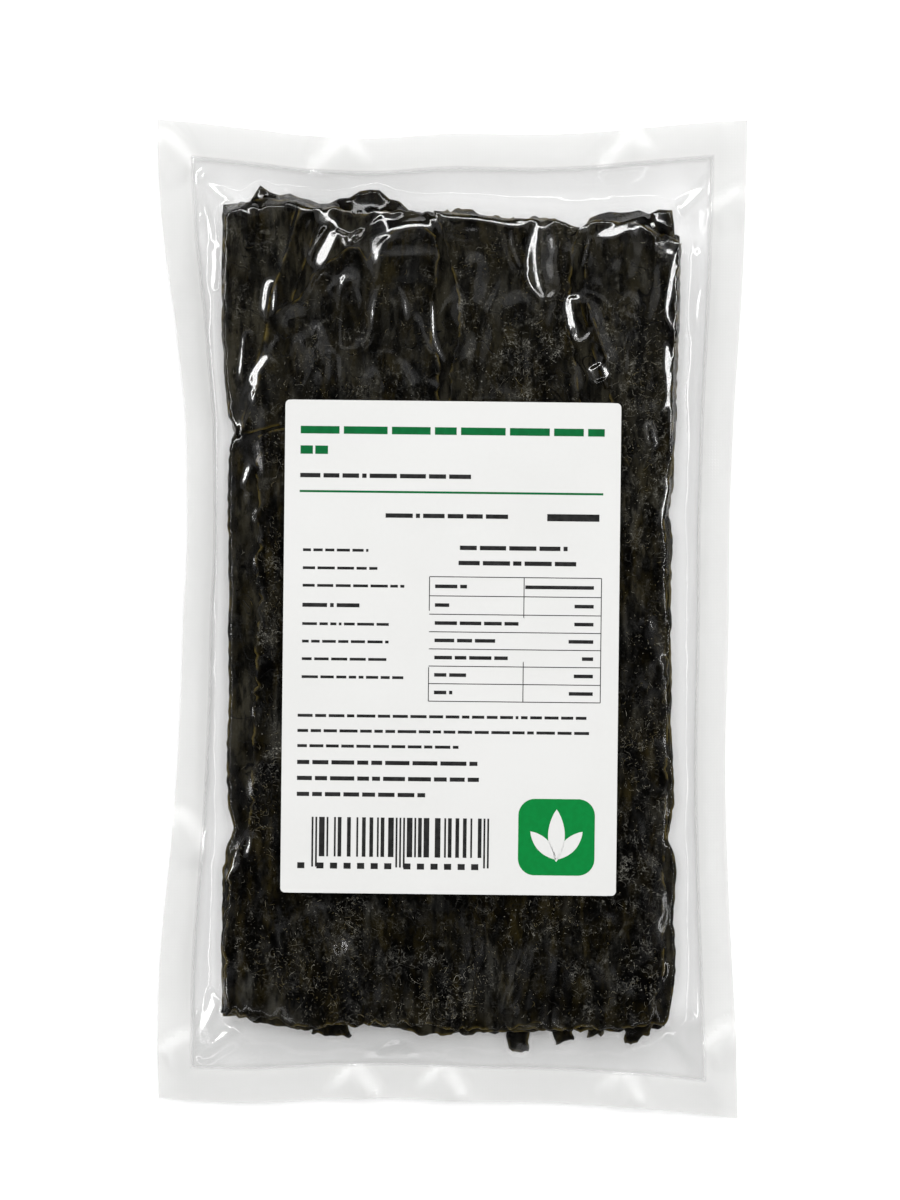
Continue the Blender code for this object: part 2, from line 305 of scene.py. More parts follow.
# Folds that run across the seal and mirror a softbox, as for FACETS
SEAL_FACETS = [
    ([(-37.0, 112.4), (-32, 116.8), (-26, 123)], 3.6, 1),
    ([(36, 112.4), (41, 117.4), (46, 124)], 3.2, 1),
    ([(-63.5, 113), (-68.5, 118.6), (-74, 124.4)], 2.8, -1),
    ([(63, 102.4), (68, 105.6), (74, 109.2)], 2.4, 1),
    ([(61.5, -109), (66, -105.4), (71.5, -101.4)], 3.0, 1),
    ([(-25.5, -111.6), (-22, -116), (-18.5, -121.4)], 3.2, 1),
    ([(-3.4, -111.6), (0, -115.8), (3.4, -121.6)], 3.2, 1),
    ([(42.4, -113.0), (45.4, -117.6), (48.6, -123.4)], 3.0, 1),
    ([(-60, -60), (-64, -54.6), (-70, -47)], 3.2, -1),
    ([(-64, -103.4), (-69, -106), (-74.6, -108.8)], 2.6, -1),
]


def ripples(place, table):
    return sum(rise * bell(place - at, width) for at, width, rise in table)


def seam_height(x, y):
    """Height at which the two films meet, with the droop and the ripples of the seal."""
    across, along = (np.clip(share, 0, 1) for share in seal_shares(x, y))
    droop = (SEAM_HEIGHT - RIM_HEIGHT) * smooth_step(np.maximum(across, np.where(y > 0, 0.2, 1) * along))
    wave_x = np.where(x < 0, ripples(y, LEFT_RIPPLES), ripples(y, RIGHT_RIPPLES))
    wave_y = np.where(y < 0, ripples(x, BOTTOM_RIPPLES), ripples(x, TOP_RIPPLES))
    return SEAM_HEIGHT - droop + 0.6 * (across * wave_x + along * wave_y)


seam_field = seam_height(map_x, map_y)
for path, width, falls in SEAL_FACETS:
    seam_field = facet(seam_field, 0 * map_x, path, width, falls)
seam_field = blurred(seam_field, 0.9)


def seam_at(x, y):
    """Height at which the two films meet, folds included."""
    return read_map(seam_field, x, y)


def under_label(x, y, margin=0.0):
    """How far each point is inside the label's outline grown by margin; negative outside."""
    cosine, sine = np.cos(LABEL_TURN), np.sin(LABEL_TURN)
    dx, dy = x - LABEL_CENTRE[0], y - LABEL_CENTRE[1]
    across, along = np.abs(dx * cosine + dy * sine), np.abs(dy * cosine - dx * sine)
    return np.minimum(LABEL_WIDTH / 2 + margin - across, LABEL_LENGTH / 2 + margin - along)


# ---------------------------------------------------------------- kelp
BLADE = 0.9                 # thickness of one blade
EDGE_THICKNESS = 0.75      # which thins down to this at its edge
EDGE_TAPER = 2.0            # over this distance
LAYERS = 7                  # full blades in the stack
RIM_LINES = (0, 0.06, 0.18, 0.4, 0.8)   # grid lines inside a blade's edge

# Pleats, hollows and ribs in the top blades: (path, half width, rise). Their crests also get a painted highlight and
# their hollows a painted shade in the kelp's colour.
RELIEF = [
    ([(-50, -66), (-47, -84), (-43, -100)], 4.0, 0.6),
    ([(-36, -68), (-33.5, -73), (-27.2, -84), (-22.9, -94), (-18.9, -101)], 1.2, 1.0),
    ([(-31.5, -70), (-25.2, -83), (-20.5, -94)], 0.9, 0.7),
    ([(-40, -74), (-38, -84), (-37, -96)], 1.6, 0.6),
    ([(19.5, -80), (17.1, -86), (14.6, -94), (12, -101)], 1.2, 1.0),
    ([(21.0, -85), (19.0, -93), (16.5, -101)], 1.4, -0.6),
    ([(33, -82), (36, -92), (38, -102)], 2.2, -0.7),
    ([(28, -74), (31, -82), (40, -90), (47, -97)], 1.3, 0.7),
    ([(2, -72), (5, -82), (3, -95)], 1.6, 0.6),
    ([(45, -74), (39, -84), (37, -88)], 2.6, 0.5),
    ([(-11.5, 93), (-11, 84)], 6.5, 1.1),
    ([(-29, 86), (-25, 82)], 5.0, 0.7),
    ([(-21.6, 93), (-20.4, 87), (-21.5, 78)], 1.3, -0.9),
    ([(-39, 74), (-36, 68), (-33, 64), (-31, 58)], 1.6, 0.9),
    ([(-43, 72), (-41, 66), (-40, 60), (-38, 54)], 1.4, -0.8),
    ([(-33, 75), (-34.5, 70), (-33, 66)], 1.0, 0.8),
    ([(-9, 77), (-8, 71), (-4, 65)], 1.5, 0.6),
    ([(-20, 64), (-18, 57), (-17.5, 51)], 1.0, 0.7),
    ([(-14, 66), (-11, 59), (-8, 52)], 0.9, 0.6),
    ([(22, 100), (20.6, 95), (21, 88), (24, 80)], 1.4, 0.7),
    ([(27, 99), (26.6, 92), (27, 84)], 1.7, -0.9),
    ([(16, 99), (15, 95), (17, 88)], 1.1, 0.5),
    ([(14, 72), (20, 75), (26, 76)], 3.0, 0.5),
    ([(40, 92), (42, 82), (46, 72), (47, 62)], 3.5, 0.5),
    ([(47, 97), (50, 88), (50, 78)], 2.0, -0.5),
    ([(50, 51), (48.7, 47), (49.5, 43), (47, 36)], 1.3, 0.7),
    ([(52, 33), (48, 28), (47, 20)], 1.6, -0.7),
]


def blade(name, left, right, bottom, top, level, **options):
    return {"name": name, "left": left, "right": right, "bottom": bottom, "top": top, "level": level, **options}


def edges_of(item):
    """The four edge curves of a blade, each with its own torn waver."""
    seed, torn = item["seed"], item.get("torn", (0.5, 0.5, 0.7, 0.7))

    def edge(side, k):
        place, value = np.array(item[side], float).T

        def at(t):
            slow = 0.4 * wander(t, 6.1, seed + k) + 0.3 * wander(t, 2.3, seed + k + 10)
            nicks = np.minimum(0.6 * wander(t, 1.3, seed + k + 20) - 0.5, 0) + 0.1 * wander(t, 0.8, seed + k + 30)
            inward = 1 if side in ("right", "top") else -1
            return np.interp(t, place, value) + torn[k] * (slow + inward * nicks)

        return at

    return [edge(side, k) for k, side in enumerate(("left", "right", "bottom", "top"))]


def blade_lines(length, pitch):
    """Shares along a blade's grid, with closer lines at its rims."""
    rim = np.array(RIM_LINES) / length
    inner = np.linspace(rim[-1], 1 - rim[-1], max(3, int(length / pitch)))
    return np.concatenate([rim[:-1], inner, 1 - rim[:-1][::-1]])


def blade_plan(item):
    """X and Y of a blade's grid points, and each point's distance to the nearest edge."""
    left, right, bottom, top = edges_of(item)
    y_middle = (item["left"][0][0] + item["left"][-1][0]) / 2
    x_middle = (item["bottom"][0][0] + item["bottom"][-1][0]) / 2
    width = right(y_middle) - left(y_middle)
    length = top(x_middle) - bottom(x_middle)
    pitch_x, pitch_y = np.broadcast_to(item["pitch"], 2)
    u, v = np.meshgrid(blade_lines(width, pitch_x), blade_lines(length, pitch_y))
    x = left(y_middle) + u * width
    y = bottom(x_middle) + v * length
    for _ in range(6):
        low_x, high_x, low_y, high_y = left(y), right(y), bottom(x), top(x)
        x, y = low_x + u * (high_x - low_x), low_y + v * (high_y - low_y)
    inside = np.minimum(np.minimum(x - low_x, high_x - x), np.minimum(y - low_y, high_y - y))
    inside[[0, -1]] = 0
    inside[:, [0, -1]] = 0
    return x, y, np.maximum(inside, 0)


def thickness(inside):
    """Thickness of a blade at a distance inside its edge, which is thin and round."""
    edge = EDGE_THICKNESS * np.sqrt(1 - (1 - np.clip(inside / EDGE_THICKNESS, 0, 1)) ** 2)
    return edge + (BLADE - EDGE_THICKNESS) * smooth_step(inside / EDGE_TAPER)


def relief(x, y):
    return sum(ridge(x, y, path, width, rise) for path, width, rise in RELIEF)


def crest_highlight_hollow_shade(x, y):
    """1 on the crests of the pleats and -1 in their hollows, where the kelp's colour paints a highlight and a shade."""
    return sum(np.sign(rise) * ridge(x, y, path, 0.3, 1, 0.3) for path, _, rise in RELIEF)


def make_mesh(name, points, faces, materials, attributes=None, smooth=True):
    """A mesh object from points in millimetres."""
    mesh = bpy.data.meshes.new(name)
    mesh.from_pydata((np.asarray(points) * MM).tolist(), [], np.asarray(faces).tolist())
    mesh.validate()
    for material in materials:
        mesh.materials.append(material)
    for key, values in (attributes or {}).items():
        layer = mesh.attributes.new(key, "FLOAT", "POINT")
        layer.data.foreach_set("value", np.asarray(values, np.float32).ravel())
    if smooth:
        mesh.shade_smooth()
    piece = bpy.data.objects.new(name, mesh)
    bpy.context.scene.collection.objects.link(piece)
    return piece


def grid_faces(rows, columns, start=0):
    """Quads of a grid of points stored row by row, facing up."""
    index = start + np.arange(rows * columns).reshape(rows, columns)
    corners = index[:-1, :-1], index[:-1, 1:], index[1:, 1:], index[1:, :-1]
    return np.stack([c.ravel() for c in corners], axis=1)


def closed_grid(name, x, y, top, bottom, materials, attributes=None):
    """A closed body between two height fields on one grid, which meet along its border."""
    rows, columns = x.shape
    upper = np.stack([x, y, top], axis=-1).reshape(-1, 3)
    lower = np.stack([x, y, bottom], axis=-1).reshape(-1, 3)
    index = np.arange(rows * columns).reshape(rows, columns)
    border = np.ones((rows, columns), bool)
    border[1:-1, 1:-1] = False
    below = np.where(border, index, -1)
    below[~border] = rows * columns + np.arange((~border).sum())
    faces_up = grid_faces(rows, columns)
    faces_down = below.ravel()[faces_up][:, ::-1]
    points = np.vstack([upper, lower[~border.ravel()]])
    values = {
        key: np.concatenate([field.ravel(), field.ravel()[~border.ravel()]])
        for key, field in (attributes or {}).items()
    }
    return make_mesh(name, points, np.vstack([faces_up, faces_down]), materials, values)


# Outline of the whole stack: (place along it, place across it)
LEFT_SIDE = [(-106, -57.8), (-100, -58.2), (-77, -58.1), (-63, -57.8), (-57, -56.6), (-52.8, -54.9),
             (-47.5, -56.4), (-37.5, -56.9), (-20, -56.4), (10, -56.3), (27, -56.6), (40, -56.4),
             (45, -55.6), (47.5, -54.6), (51, -56.6), (60, -57.4), (74, -58.1), (108, -57.8)]
RIGHT_SIDE = [(-106, 53.6), (-103, 54.0), (-96, 55.4), (-88, 56.4), (-76, 55.8), (-61.5, 56.5),
              (-55, 54.2), (-46, 56.2), (-40, 55.8), (-25, 55.1), (11, 55.2), (19, 55.6), (26.6, 54.6),
              (34, 55.7), (55, 56.5), (71, 57.0), (81, 57.4), (95, 57.7), (104, 57.0)]
# Lower blades, from the bottom up: how far each stays inside the outline, left and right, and its ends
LOWER = [
    (0.9, 1.2, [(-58, -99), (-20, -101), (20, -102.5), (58, -101)], [(-58, 101), (0, 99), (58, 96)]),
    (0.2, 0.5, [(-58, -100), (-10, -101.5), (30, -103.5), (58, -102)], [(-58, 102.5), (-10, 101), (58, 95)]),
    (1.3, 0.1, [(-58, -98), (0, -102), (58, -103)], [(-58, 103), (-30, 101.5), (10, 100), (58, 97)]),
    (0.0, 1.0, [(-58, -99.5), (-20, -101.5), (10, -104.6), (58, -103.3)],
     [(-58, 104.5), (-49, 105.5), (-30, 103.5), (0, 100), (30, 98), (36, 101), (58, 97)]),
    (0.8, 1.6, [(-58, -98.5), (-30, -102.2), (0, -104.4), (22, -103.4), (58, -102.5)],
     [(-58, 104), (-50.2, 105.4), (-48.4, 109), (-38, 106.6), (-31, 105.2), (-26, 106), (-21, 108.4),
      (-18.6, 108.3), (-12.4, 104.2), (0, 101), (22, 100), (32.5, 98), (35.1, 102), (44.9, 103.8),
      (46, 102.6), (53.4, 102.2), (54.8, 103.6), (56, 103)]),
    (0.0, 0.0, [(-58.1, -99.6), (-50, -101.6), (-36, -103.4), (-20.6, -102.3), (-12, -103.8), (1.9, -105),
                (12, -104.4), (25, -103.4), (40, -103.8), (54, -102)],
     [(-57.5, 103), (-49, 104.4), (-38, 104.8), (-31, 102.8), (-22, 102.6), (-13, 104.2), (-4.2, 103),
      (13.8, 101), (25.7, 101), (32, 98.2), (36, 99.5), (46, 99.4), (55, 95.8), (58, 94.7)]),
]


def shifted(table, by):
    return [(place, value + by) for place, value in table]


def kelp_blades():
    """The blades from the bottom up. level is a place in the stack, and None rests on what is below."""
    blades = []
    for k, (left_in, right_in, bottom, top) in enumerate(LOWER):
        blades.append(blade(
            f"kelp_blade_{k + 1}", shifted(LEFT_SIDE, left_in), shifted(RIGHT_SIDE, -right_in), bottom, top,
            k,
            pitch=(2.4, 2.4) if k < 5 else (0.9, 0.9), seed=11 + 3 * k, bloom=0.5 if k < 5 else 0.12,
            pale=0.0 if k < 5 else 0.9, torn=(0.2, 0.2, 0.6, 0.8),
            raised=[([(-53.5, 44), (-53.5, -104)], 3.6, 0.85), ([(55, 22), (55, -104)], 3.2, 0.8)] if k == 5 else [],
        ))
    blades.append(blade(
        "kelp_front", [(-104, -57.6), (-72, -57.5), (-60, -55.6), (-52, -51.5), (-30, -50.2), (0, -49.4),
                       (30, -49.2), (50, -50)],
        [(-104, 50.5), (-96, 51.5), (-88, 53.2), (-60, 53.8), (-30, 54.4), (0, 54.1), (40, 53.2)],
        [(-57.6, -99.4), (-50, -101), (-36, -102.6), (-20, -101.8), (0, -103.6), (20, -102.9), (36, -103.6),
         (51, -101)],
        [(-51, 45.5), (-42, 48.2), (0, 49), (40, 46), (54, 24)], 6,
        pitch=(0.6, 0.65), seed=41, bloom=1.35, torn=(0.6, 0.45, 0.8, 0.2),
    ))
    blades.append(blade(
        "kelp_upper_left", [(46, -53.5), (60, -49), (70, -46), (84, -40), (96, -34)],
        [(48, -2.2), (57, -3.4), (64, -2.6), (69.4, -5.6), (76, -5.2), (83, -4.2), (93, -3.4), (100, -5)],
        [(-54, 45.8), (-42, 48.8), (-3, 50)],
        [(-50, 58), (-46, 68), (-41.6, 76), (-36.2, 82.2), (-33, 87.4), (-29.7, 91), (-25.9, 93.6),
         (-23.5, 93.8), (-21.4, 90.5), (-19.8, 93), (-17, 96.6), (-13.3, 98.6), (-8.7, 99.3), (-3.6, 96.5)], 6,
        pitch=(0.6, 0.6), seed=47, bloom=1.3, pale=0.22, torn=(0.5, 0.35, 0.2, 0.35),
    ))
    blades.append(blade(
        "kelp_upper_middle", [(48, -1), (62, -1), (72, 1.6), (84, 0.8), (90, -1.2), (102, -4.2)],
        [(48, 33), (62, 31.5), (74, 29.6), (90, 30.4), (100, 32)],
        [(-4, 50), (33, 50)], [(-4.5, 102.6), (13.8, 100.6), (25.7, 100.6), (32.5, 98.2)], 6,
        pitch=(0.6, 0.6), seed=53, bloom=1.6, pale=0.4, torn=(0.35, 0.35, 0.2, 0.15),
    ))
    blades.append(blade(
        "kelp_left_flap", [(46, -55.2), (52, -56.4), (60, -57.2), (74, -57.8), (104, -57.5)],
        [(46, -53.4), (60, -49.6), (77, -45.6), (95, -41), (106, -38.6)],
        [(-56, 45.6), (-53, 46.6)], [(-58, 103.6), (-53, 106.2), (-46, 106), (-38.5, 104.6)], None,
        pitch=(0.6, 0.7), seed=59, bloom=0.8, pale=0.9, torn=(0.3, 0.2, 0.1, 0.7),
    ))
    blades.append(blade(
        "kelp_pleat", [(73, -47.6), (80.8, -45.9), (93.4, -41.4), (104.8, -38.2)],
        [(73, -42.6), (83.3, -38.8), (93.4, -35.6), (103.5, -32.4)],
        [(-48, 75), (-42, 75.4)], [(-38.5, 104.4), (-32, 103)], None,
        pitch=(0.5, 0.6), seed=61, bloom=0.1, pale=0.6, torn=(0.15, 0.15, 0.2, 0.4), lift=0.5,
    ))
    blades.append(blade(
        "kelp_right_fold", [(22, 44), (40, 43), (57, 39), (66, 36.2), (74, 33.4), (90, 32.6), (100, 34)],
        shifted(RIGHT_SIDE[11:], -0.6),
        [(44, 24), (56, 26)], [(33, 99), (36, 100.4), (45, 100), (55, 96.2), (58, 94.6)], 6,
        pitch=(0.6, 0.7), seed=71, bloom=1.5, pale=0.4, torn=(0.35, 0.3, 0.2, 0.3),
    ))
    blades.append(blade(
        "kelp_tongue", [(56, 38.6), (66, 35.4), (80, 31.6)], [(56, 40.4), (66, 38.8), (80, 34)],
        [(38, 57.5), (41, 57.5)], [(31, 80), (34.5, 80.5)], None,
        pitch=(0.4, 0.6), seed=73, bloom=0.0, torn=(0.1, 0.1, 0.1, 0.1),
    ))
    tabs = [
        ("kelp_tab_1", -34.8, -26.0, -105.0, -106.0, -1.6, 3),
        ("kelp_tab_2", 12.6, 20.4, -109.4, -110.0, 1.8, 2),
        ("kelp_tab_3", 25.0, 31.2, -107.6, -107.2, 1.2, 3),
        ("kelp_tab_4", 42.4, 51.0, -108.0, -105.4, 0.9, 4),
        ("kelp_tab_5", 33.6, 38.4, -105.6, -105.2, 0.4, 4),
    ]
    for k, (name, left, right, end_left, end_right, lean, level) in enumerate(tabs):
        blades.append(blade(
            name, [(-111, left + lean), (-100, left)], [(-111, right - lean * 0.7), (-100, right)],
            [(left, end_left), (right, end_right)], [(left, -97), (right, -97)], level,
            pitch=(0.7, 0.7), seed=80 + k, bloom=0.2, torn=(0.5, 0.5, 0.8, 0.1), droop=1.2,
        ))
    return blades


def inside_edges(item, x, y):
    left, right, bottom, top = edges_of(item)
    return np.minimum(np.minimum(x - left(y), right(y) - x), np.minimum(y - bottom(x), top(x) - y))


def buckle(x, y, level, seed):
    """Slow buckling of a blade. Neighbours share most of it, so that they stay apart."""
    share = level / LAYERS
    common = 0.5 * noise(x, y, (17, 23), 5) + 0.25 * noise(x, y, (8, 11), 6)
    own = 0.10 * noise(x, y, (9, 14), seed)
    away = smooth_step(-under_label(x, y, 1.5) / 6)
    return (common * share**2 * (0.25 + 0.75 * away) + own) * (0.35 + 0.65 * away)


def stack_map(blades):
    """Lays the blades on the height map one by one. Gives each its own resting map."""
    height = np.zeros_like(map_x)
    dusted = np.zeros_like(map_x)
    flat = under_label(map_x, map_y, 1.0)
    lumps = 0.24 * noise(map_x, map_y, (5.2, 6.4), 91)
    crumpled = smooth_step(0.5 + 0.6 * noise(map_x, map_y, (21, 26), 94))
    lumps = lumps + 0.22 * crumpled * noise(map_x, map_y, (2.4, 2.9), 92)
    lumps = lumps + 0.45 * (1 - crumpled) * (0.6 - np.abs(noise(map_x, map_y, (6.5, 9.5), 95)))
    calm = 1 - sum(ridge(map_x, map_y, path, 2.6, 0.85, 0.1) for path, _, _ in CREASES + FACETS)
    lumps = lumps * smooth_step(-flat / 4) * np.clip(calm, 0, 1)
    from_rim = inside_edges(blades[5], map_x[:1], map_y[:, :1])
    outward = np.clip(1 - from_rim / 5, 0, 3)
    rim_lumps = 0.12 * noise(map_x, map_y, (3.4, 4.2), 93) * smooth_step(1 - from_rim / 9) * smooth_step(-flat / 3)
    folded = relief(map_x, map_y) * smooth_step(-flat / 2.5)
    rests = []
    for item in blades:
        inside = inside_edges(item, map_x[:1], map_y[:, :1])
        covered = inside > 0
        if item["level"] is None:
            rest = np.maximum(blurred(height, 1.2), height) + item.get("lift", 0) + 0.1
        else:
            level = item["level"]
            share = level / (LAYERS - 1)
            rest = (crown(map_x, map_y) - BLADE - 0.15) * share + buckle(map_x, map_y, level, item["seed"])
            rest = rest + share**4 * (folded + lumps * item["bloom"] + rim_lumps)
            rest = rest - 0.25 * outward * share
            rest = rest + sum(ridge(map_x, map_y, *hump, 0.06) for hump in item.get("raised", []))
        rest = rest - item.get("droop", 0) * smooth_step((-101 - map_y) / 8)
        rest = np.maximum(rest, 0.1)
        rests.append(rest)
        top = rest + thickness(np.maximum(inside, 0))
        dusted = np.where(covered & (top > height), item["bloom"], dusted)
        height = np.where(covered, np.maximum(height, top), height)
    return rests, height, dusted


def make_kelp(blades, rests):
    pieces = []
    for item, rest in zip(blades, rests):
        x, y, inside = blade_plan(item)
        back = read_map(rest, x, y)
        thick = thickness(inside)
        rim = bell(inside, 0.4)
        attributes = {
            "rim": rim, "bloom": np.full(x.shape, item["bloom"]), "pale": np.full(x.shape, item.get("pale", 0.0)),
            # The pleats' crests and hollows, marked for a painted highlight and a painted shade in the kelp's colour.
            "vein_highlight_and_shade": crest_highlight_hollow_shade(x, y) if item["level"] in (5, 6) else np.zeros(x.shape),
        }
        pieces.append(closed_grid(item["name"], x, y, back + 0.85 * thick, back - 0.15 * thick, [kelp], attributes))
    return pieces


def make_fibres(height, dusted, count=4400, steps=6):
    """Curly pale fibres and specks on the top of the kelp, each a thin closed ridge."""
    rng = np.random.default_rng(17)
    tries = 9 * count
    x = rng.uniform(STACK_LEFT, STACK_RIGHT, tries)
    y = rng.uniform(STACK_BOTTOM, STACK_TOP, tries)
    patches = smooth_step(0.45 + 0.45 * noise(x, y, (9, 12), 141)) * (0.35 + 0.65 * smooth_step(
        0.5 + 0.5 * noise(x, y, (3, 4), 142)))
    fuzzy = np.maximum(smooth_step((30 - y) / 30), smooth_step((x - 44) / 6)) * 0.55 + 0.45
    chance = (0.08 + 0.92 * patches**1.5) * (0.04 + 0.96 * read_map(dusted, x, y)) * fuzzy
    kept = rng.random(tries) < chance
    x, y = x[kept][: 2 * count], y[kept][: 2 * count]
    speck = rng.random(len(x)) < 0.45
    length = np.where(speck, rng.uniform(0.12, 0.3, len(x)), rng.gamma(1.5, 0.55, len(x)) + 0.25)
    length = np.minimum(length, 6)
    half_width = np.where(speck, rng.uniform(0.04, 0.09, len(x)), rng.uniform(0.022, 0.045, len(x)))
    heading = rng.uniform(0, 2 * np.pi, len(x))
    bend = rng.normal(0, 1.0, len(x)) / np.maximum(length, 0.8)
    sway = rng.normal(0, 0.9, len(x))
    line_x, line_y = [x], [y]
    for k in range(steps - 1):
        share = k / (steps - 1)
        turn = heading + bend * length * share + sway * np.sin(2 * np.pi * share)
        line_x.append(line_x[-1] + np.cos(turn) * length / (steps - 1))
        line_y.append(line_y[-1] + np.sin(turn) * length / (steps - 1))
    line_x, line_y = np.stack(line_x, 1), np.stack(line_y, 1)
    lies_on = read_map(height, line_x, line_y)
    fits = (under_label(line_x, line_y, 0.6).max(1) < 0) & (beside_stack(line_x, line_y).max(1) < -1.5)
    fits &= (np.ptp(lies_on, axis=1) < 0.2 + 0.25 * length) & (lies_on.min(1) > 8)
    chosen = np.flatnonzero(fits)[:count]
    line_x, line_y, lies_on = line_x[chosen], line_y[chosen], lies_on[chosen]
    run_x, run_y = np.gradient(line_x, axis=1), np.gradient(line_y, axis=1)
    run = np.hypot(run_x, run_y)
    share = np.linspace(0, 1, steps)
    width = half_width[chosen, None] * (0.35 + 0.65 * np.sin(np.pi * share)) / run
    across_x, across_y = -run_y * width, run_x * width
    sides = [
        np.stack([line_x + across_x, line_y + across_y, lies_on + 0.02], -1),
        np.stack([line_x - across_x, line_y - across_y, lies_on + 0.02], -1),
        np.stack([line_x, line_y, lies_on + 0.07], -1),
    ]
    points = np.stack(sides, axis=2).reshape(-1, 3)
    fibre = 3 * steps * np.arange(len(chosen))[:, None]
    quads, caps = [], []
    for k in range(steps - 1):
        for a, b in ((0, 1), (1, 2), (2, 0)):
            quads.append(fibre + np.array([[3 * k + a, 3 * k + b, 3 * k + 3 + b, 3 * k + 3 + a]]))
    end = 3 * (steps - 1)
    caps = [fibre + np.array([[0, 2, 1]]), fibre + np.array([[end, end + 1, end + 2]])]
    faces = np.concatenate(quads).tolist() + np.concatenate(caps).tolist()
    tone = np.repeat(rng.beta(1.1, 4.6, len(chosen)), 3 * steps)
    warm = np.repeat(rng.random(len(chosen)) ** 3, 3 * steps)
    mesh = bpy.data.meshes.new("kelp_fibres")
    mesh.from_pydata((points * MM).tolist(), [], faces)
    mesh.materials.append(fibre_stuff)
    for key, values in (("tone", tone), ("warm", warm)):
        mesh.attributes.new(key, "FLOAT", "POINT").data.foreach_set("value", values.astype(np.float32))
    piece = bpy.data.objects.new("kelp_fibres", mesh)
    bpy.context.scene.collection.objects.link(piece)
    return piece


# ---------------------------------------------------------------- film
# Thin creases that stand up from the tight film: (path, half width, steep side as for ridge)
CREASES = [
    ([(52.8, -103.5), (58, -109), (63.7, -113.9)], 1.3, 0),
    ([(63.5, 66), (62.2, 60), (63.0, 50)], 1.0, 1),
    ([(-20.4, -109.9), (-13.8, -107.3), (-10, -110)], 1.0, 0),
    ([(-42.6, 106.6), (-38, 105.6), (-34.5, 104.4), (-31, 103.6)], 1.0, 1),
    ([(-25.6, 84.6), (-24, 80), (-24.6, 75)], 0.9, 1),
]
CREASE_SLOPE = 0.61         # rise of a crease over its half width

# Flat strips of film tilted to mirror a softbox: (path, width, falling side: 1 left of the path, -1 right)
FACETS = [
    # in the margins
    ([(-64.4, 110.6), (-61.8, 101), (-60.2, 94)], 1.0, -1),
    ([(-60.6, 96.2), (-60.0, 89), (-60.8, 81.6)], 1.7, -1),
    ([(-65.1, 112.7), (-60.2, 108.6), (-55.4, 104.2)], 1.3, 1),
    ([(65.9, 111.6), (61.4, 107.2), (56.5, 102.6)], 1.6, -1),
    ([(62.2, 94.4), (63.4, 87.6), (61.7, 78.2), (62.7, 69.6)], 0.9, 1),
    ([(-58.8, -93.4), (-62.0, -100.4), (-65.5, -108.4)], 2.3, -1),
    ([(-54.6, -102.8), (-59.4, -106.2), (-65.2, -110.2)], 1.5, -1),
    # upper left
    ([(-49.4, 107.0), (-51, 104.5), (-53.2, 101.4)], 1.0, -1),
    ([(-35.4, 101.8), (-31, 99.6), (-28.4, 98.8)], 2.4, 1),
    ([(-29.0, 98.6), (-31.0, 94), (-34.0, 87.6)], 2.6, -1),
    ([(-26.2, 96.2), (-25.0, 94.2)], 1.5, -1),
    ([(-18.4, 101.4), (-16.6, 98.8), (-14.8, 96.4)], 1.6, 1),
    ([(-16.8, 97.2), (-13.5, 98.0), (-9, 98.8), (-4, 98.2)], 1.5, 1),
    ([(-44.4, 85.6), (-44.9, 81), (-45.4, 75.6)], 0.9, 1),
    ([(-51.7, 73.4), (-52.6, 69.5), (-52.9, 65), (-53.6, 59.6)], 1.1, -1),
    ([(-45.6, 66.6), (-48.2, 63.4), (-49.4, 61.0), (-48.8, 57.4)], 1.8, -1),
    ([(-5.0, 81.0), (-5.2, 75.0), (-4.4, 69.0), (-1.4, 63.4)], 0.8, 1),
    # centre and right
    ([(-4, 100.8), (6, 100.2), (13.6, 98.9), (17.4, 98.9), (22.6, 101.2)], 1.0, 1),
    ([(14.2, 98.2), (14.9, 93), (17.4, 87.4)], 0.7, 1),
    ([(21.6, 100.4), (20.6, 92), (21.4, 84.7), (24.0, 79.2)], 1.5, -1),
    ([(28.8, 81.6), (29.6, 75.6), (31.2, 69.4)], 2.2, -1),
    ([(30.6, 69.8), (32.6, 70.4), (35.0, 72.8)], 1.3, -1),
    ([(34.6, 96.8), (33.6, 92), (32.3, 87.4)], 0.7, -1),
    ([(34.6, 96.8), (39.5, 96.4), (44, 98.4), (50.5, 101)], 2.2, 1),
    ([(37.2, 64.4), (38.9, 60.2)], 1.3, 1),
    ([(56.4, 93.0), (55.3, 87.6), (53.9, 77.2), (56.4, 71.2)], 1.6, 1),
    ([(53.4, 70.6), (53.7, 64), (54.0, 54.4), (50.4, 50.8)], 1.5, 1),
    ([(48.6, 49.8), (49.0, 46), (50.2, 42.6)], 0.7, -1),
    # beside the label
    ([(53.9, 34.2), (53.3, 29.8), (51.9, 25.4)], 1.2, 1),
    ([(-50.6, 39.2), (-51.6, 36.4), (-53.1, 32.8)], 1.3, -1),
    ([(-51.3, 32.0), (-52.0, 30.0)], 1.3, -1),
    ([(-50.7, -53.4), (-51.0, -57), (-52.0, -60.2)], 1.1, -1),
    ([(-53.2, -60.0), (-54.2, -62.0), (-55.4, -64.0)], 0.9, -1),
]


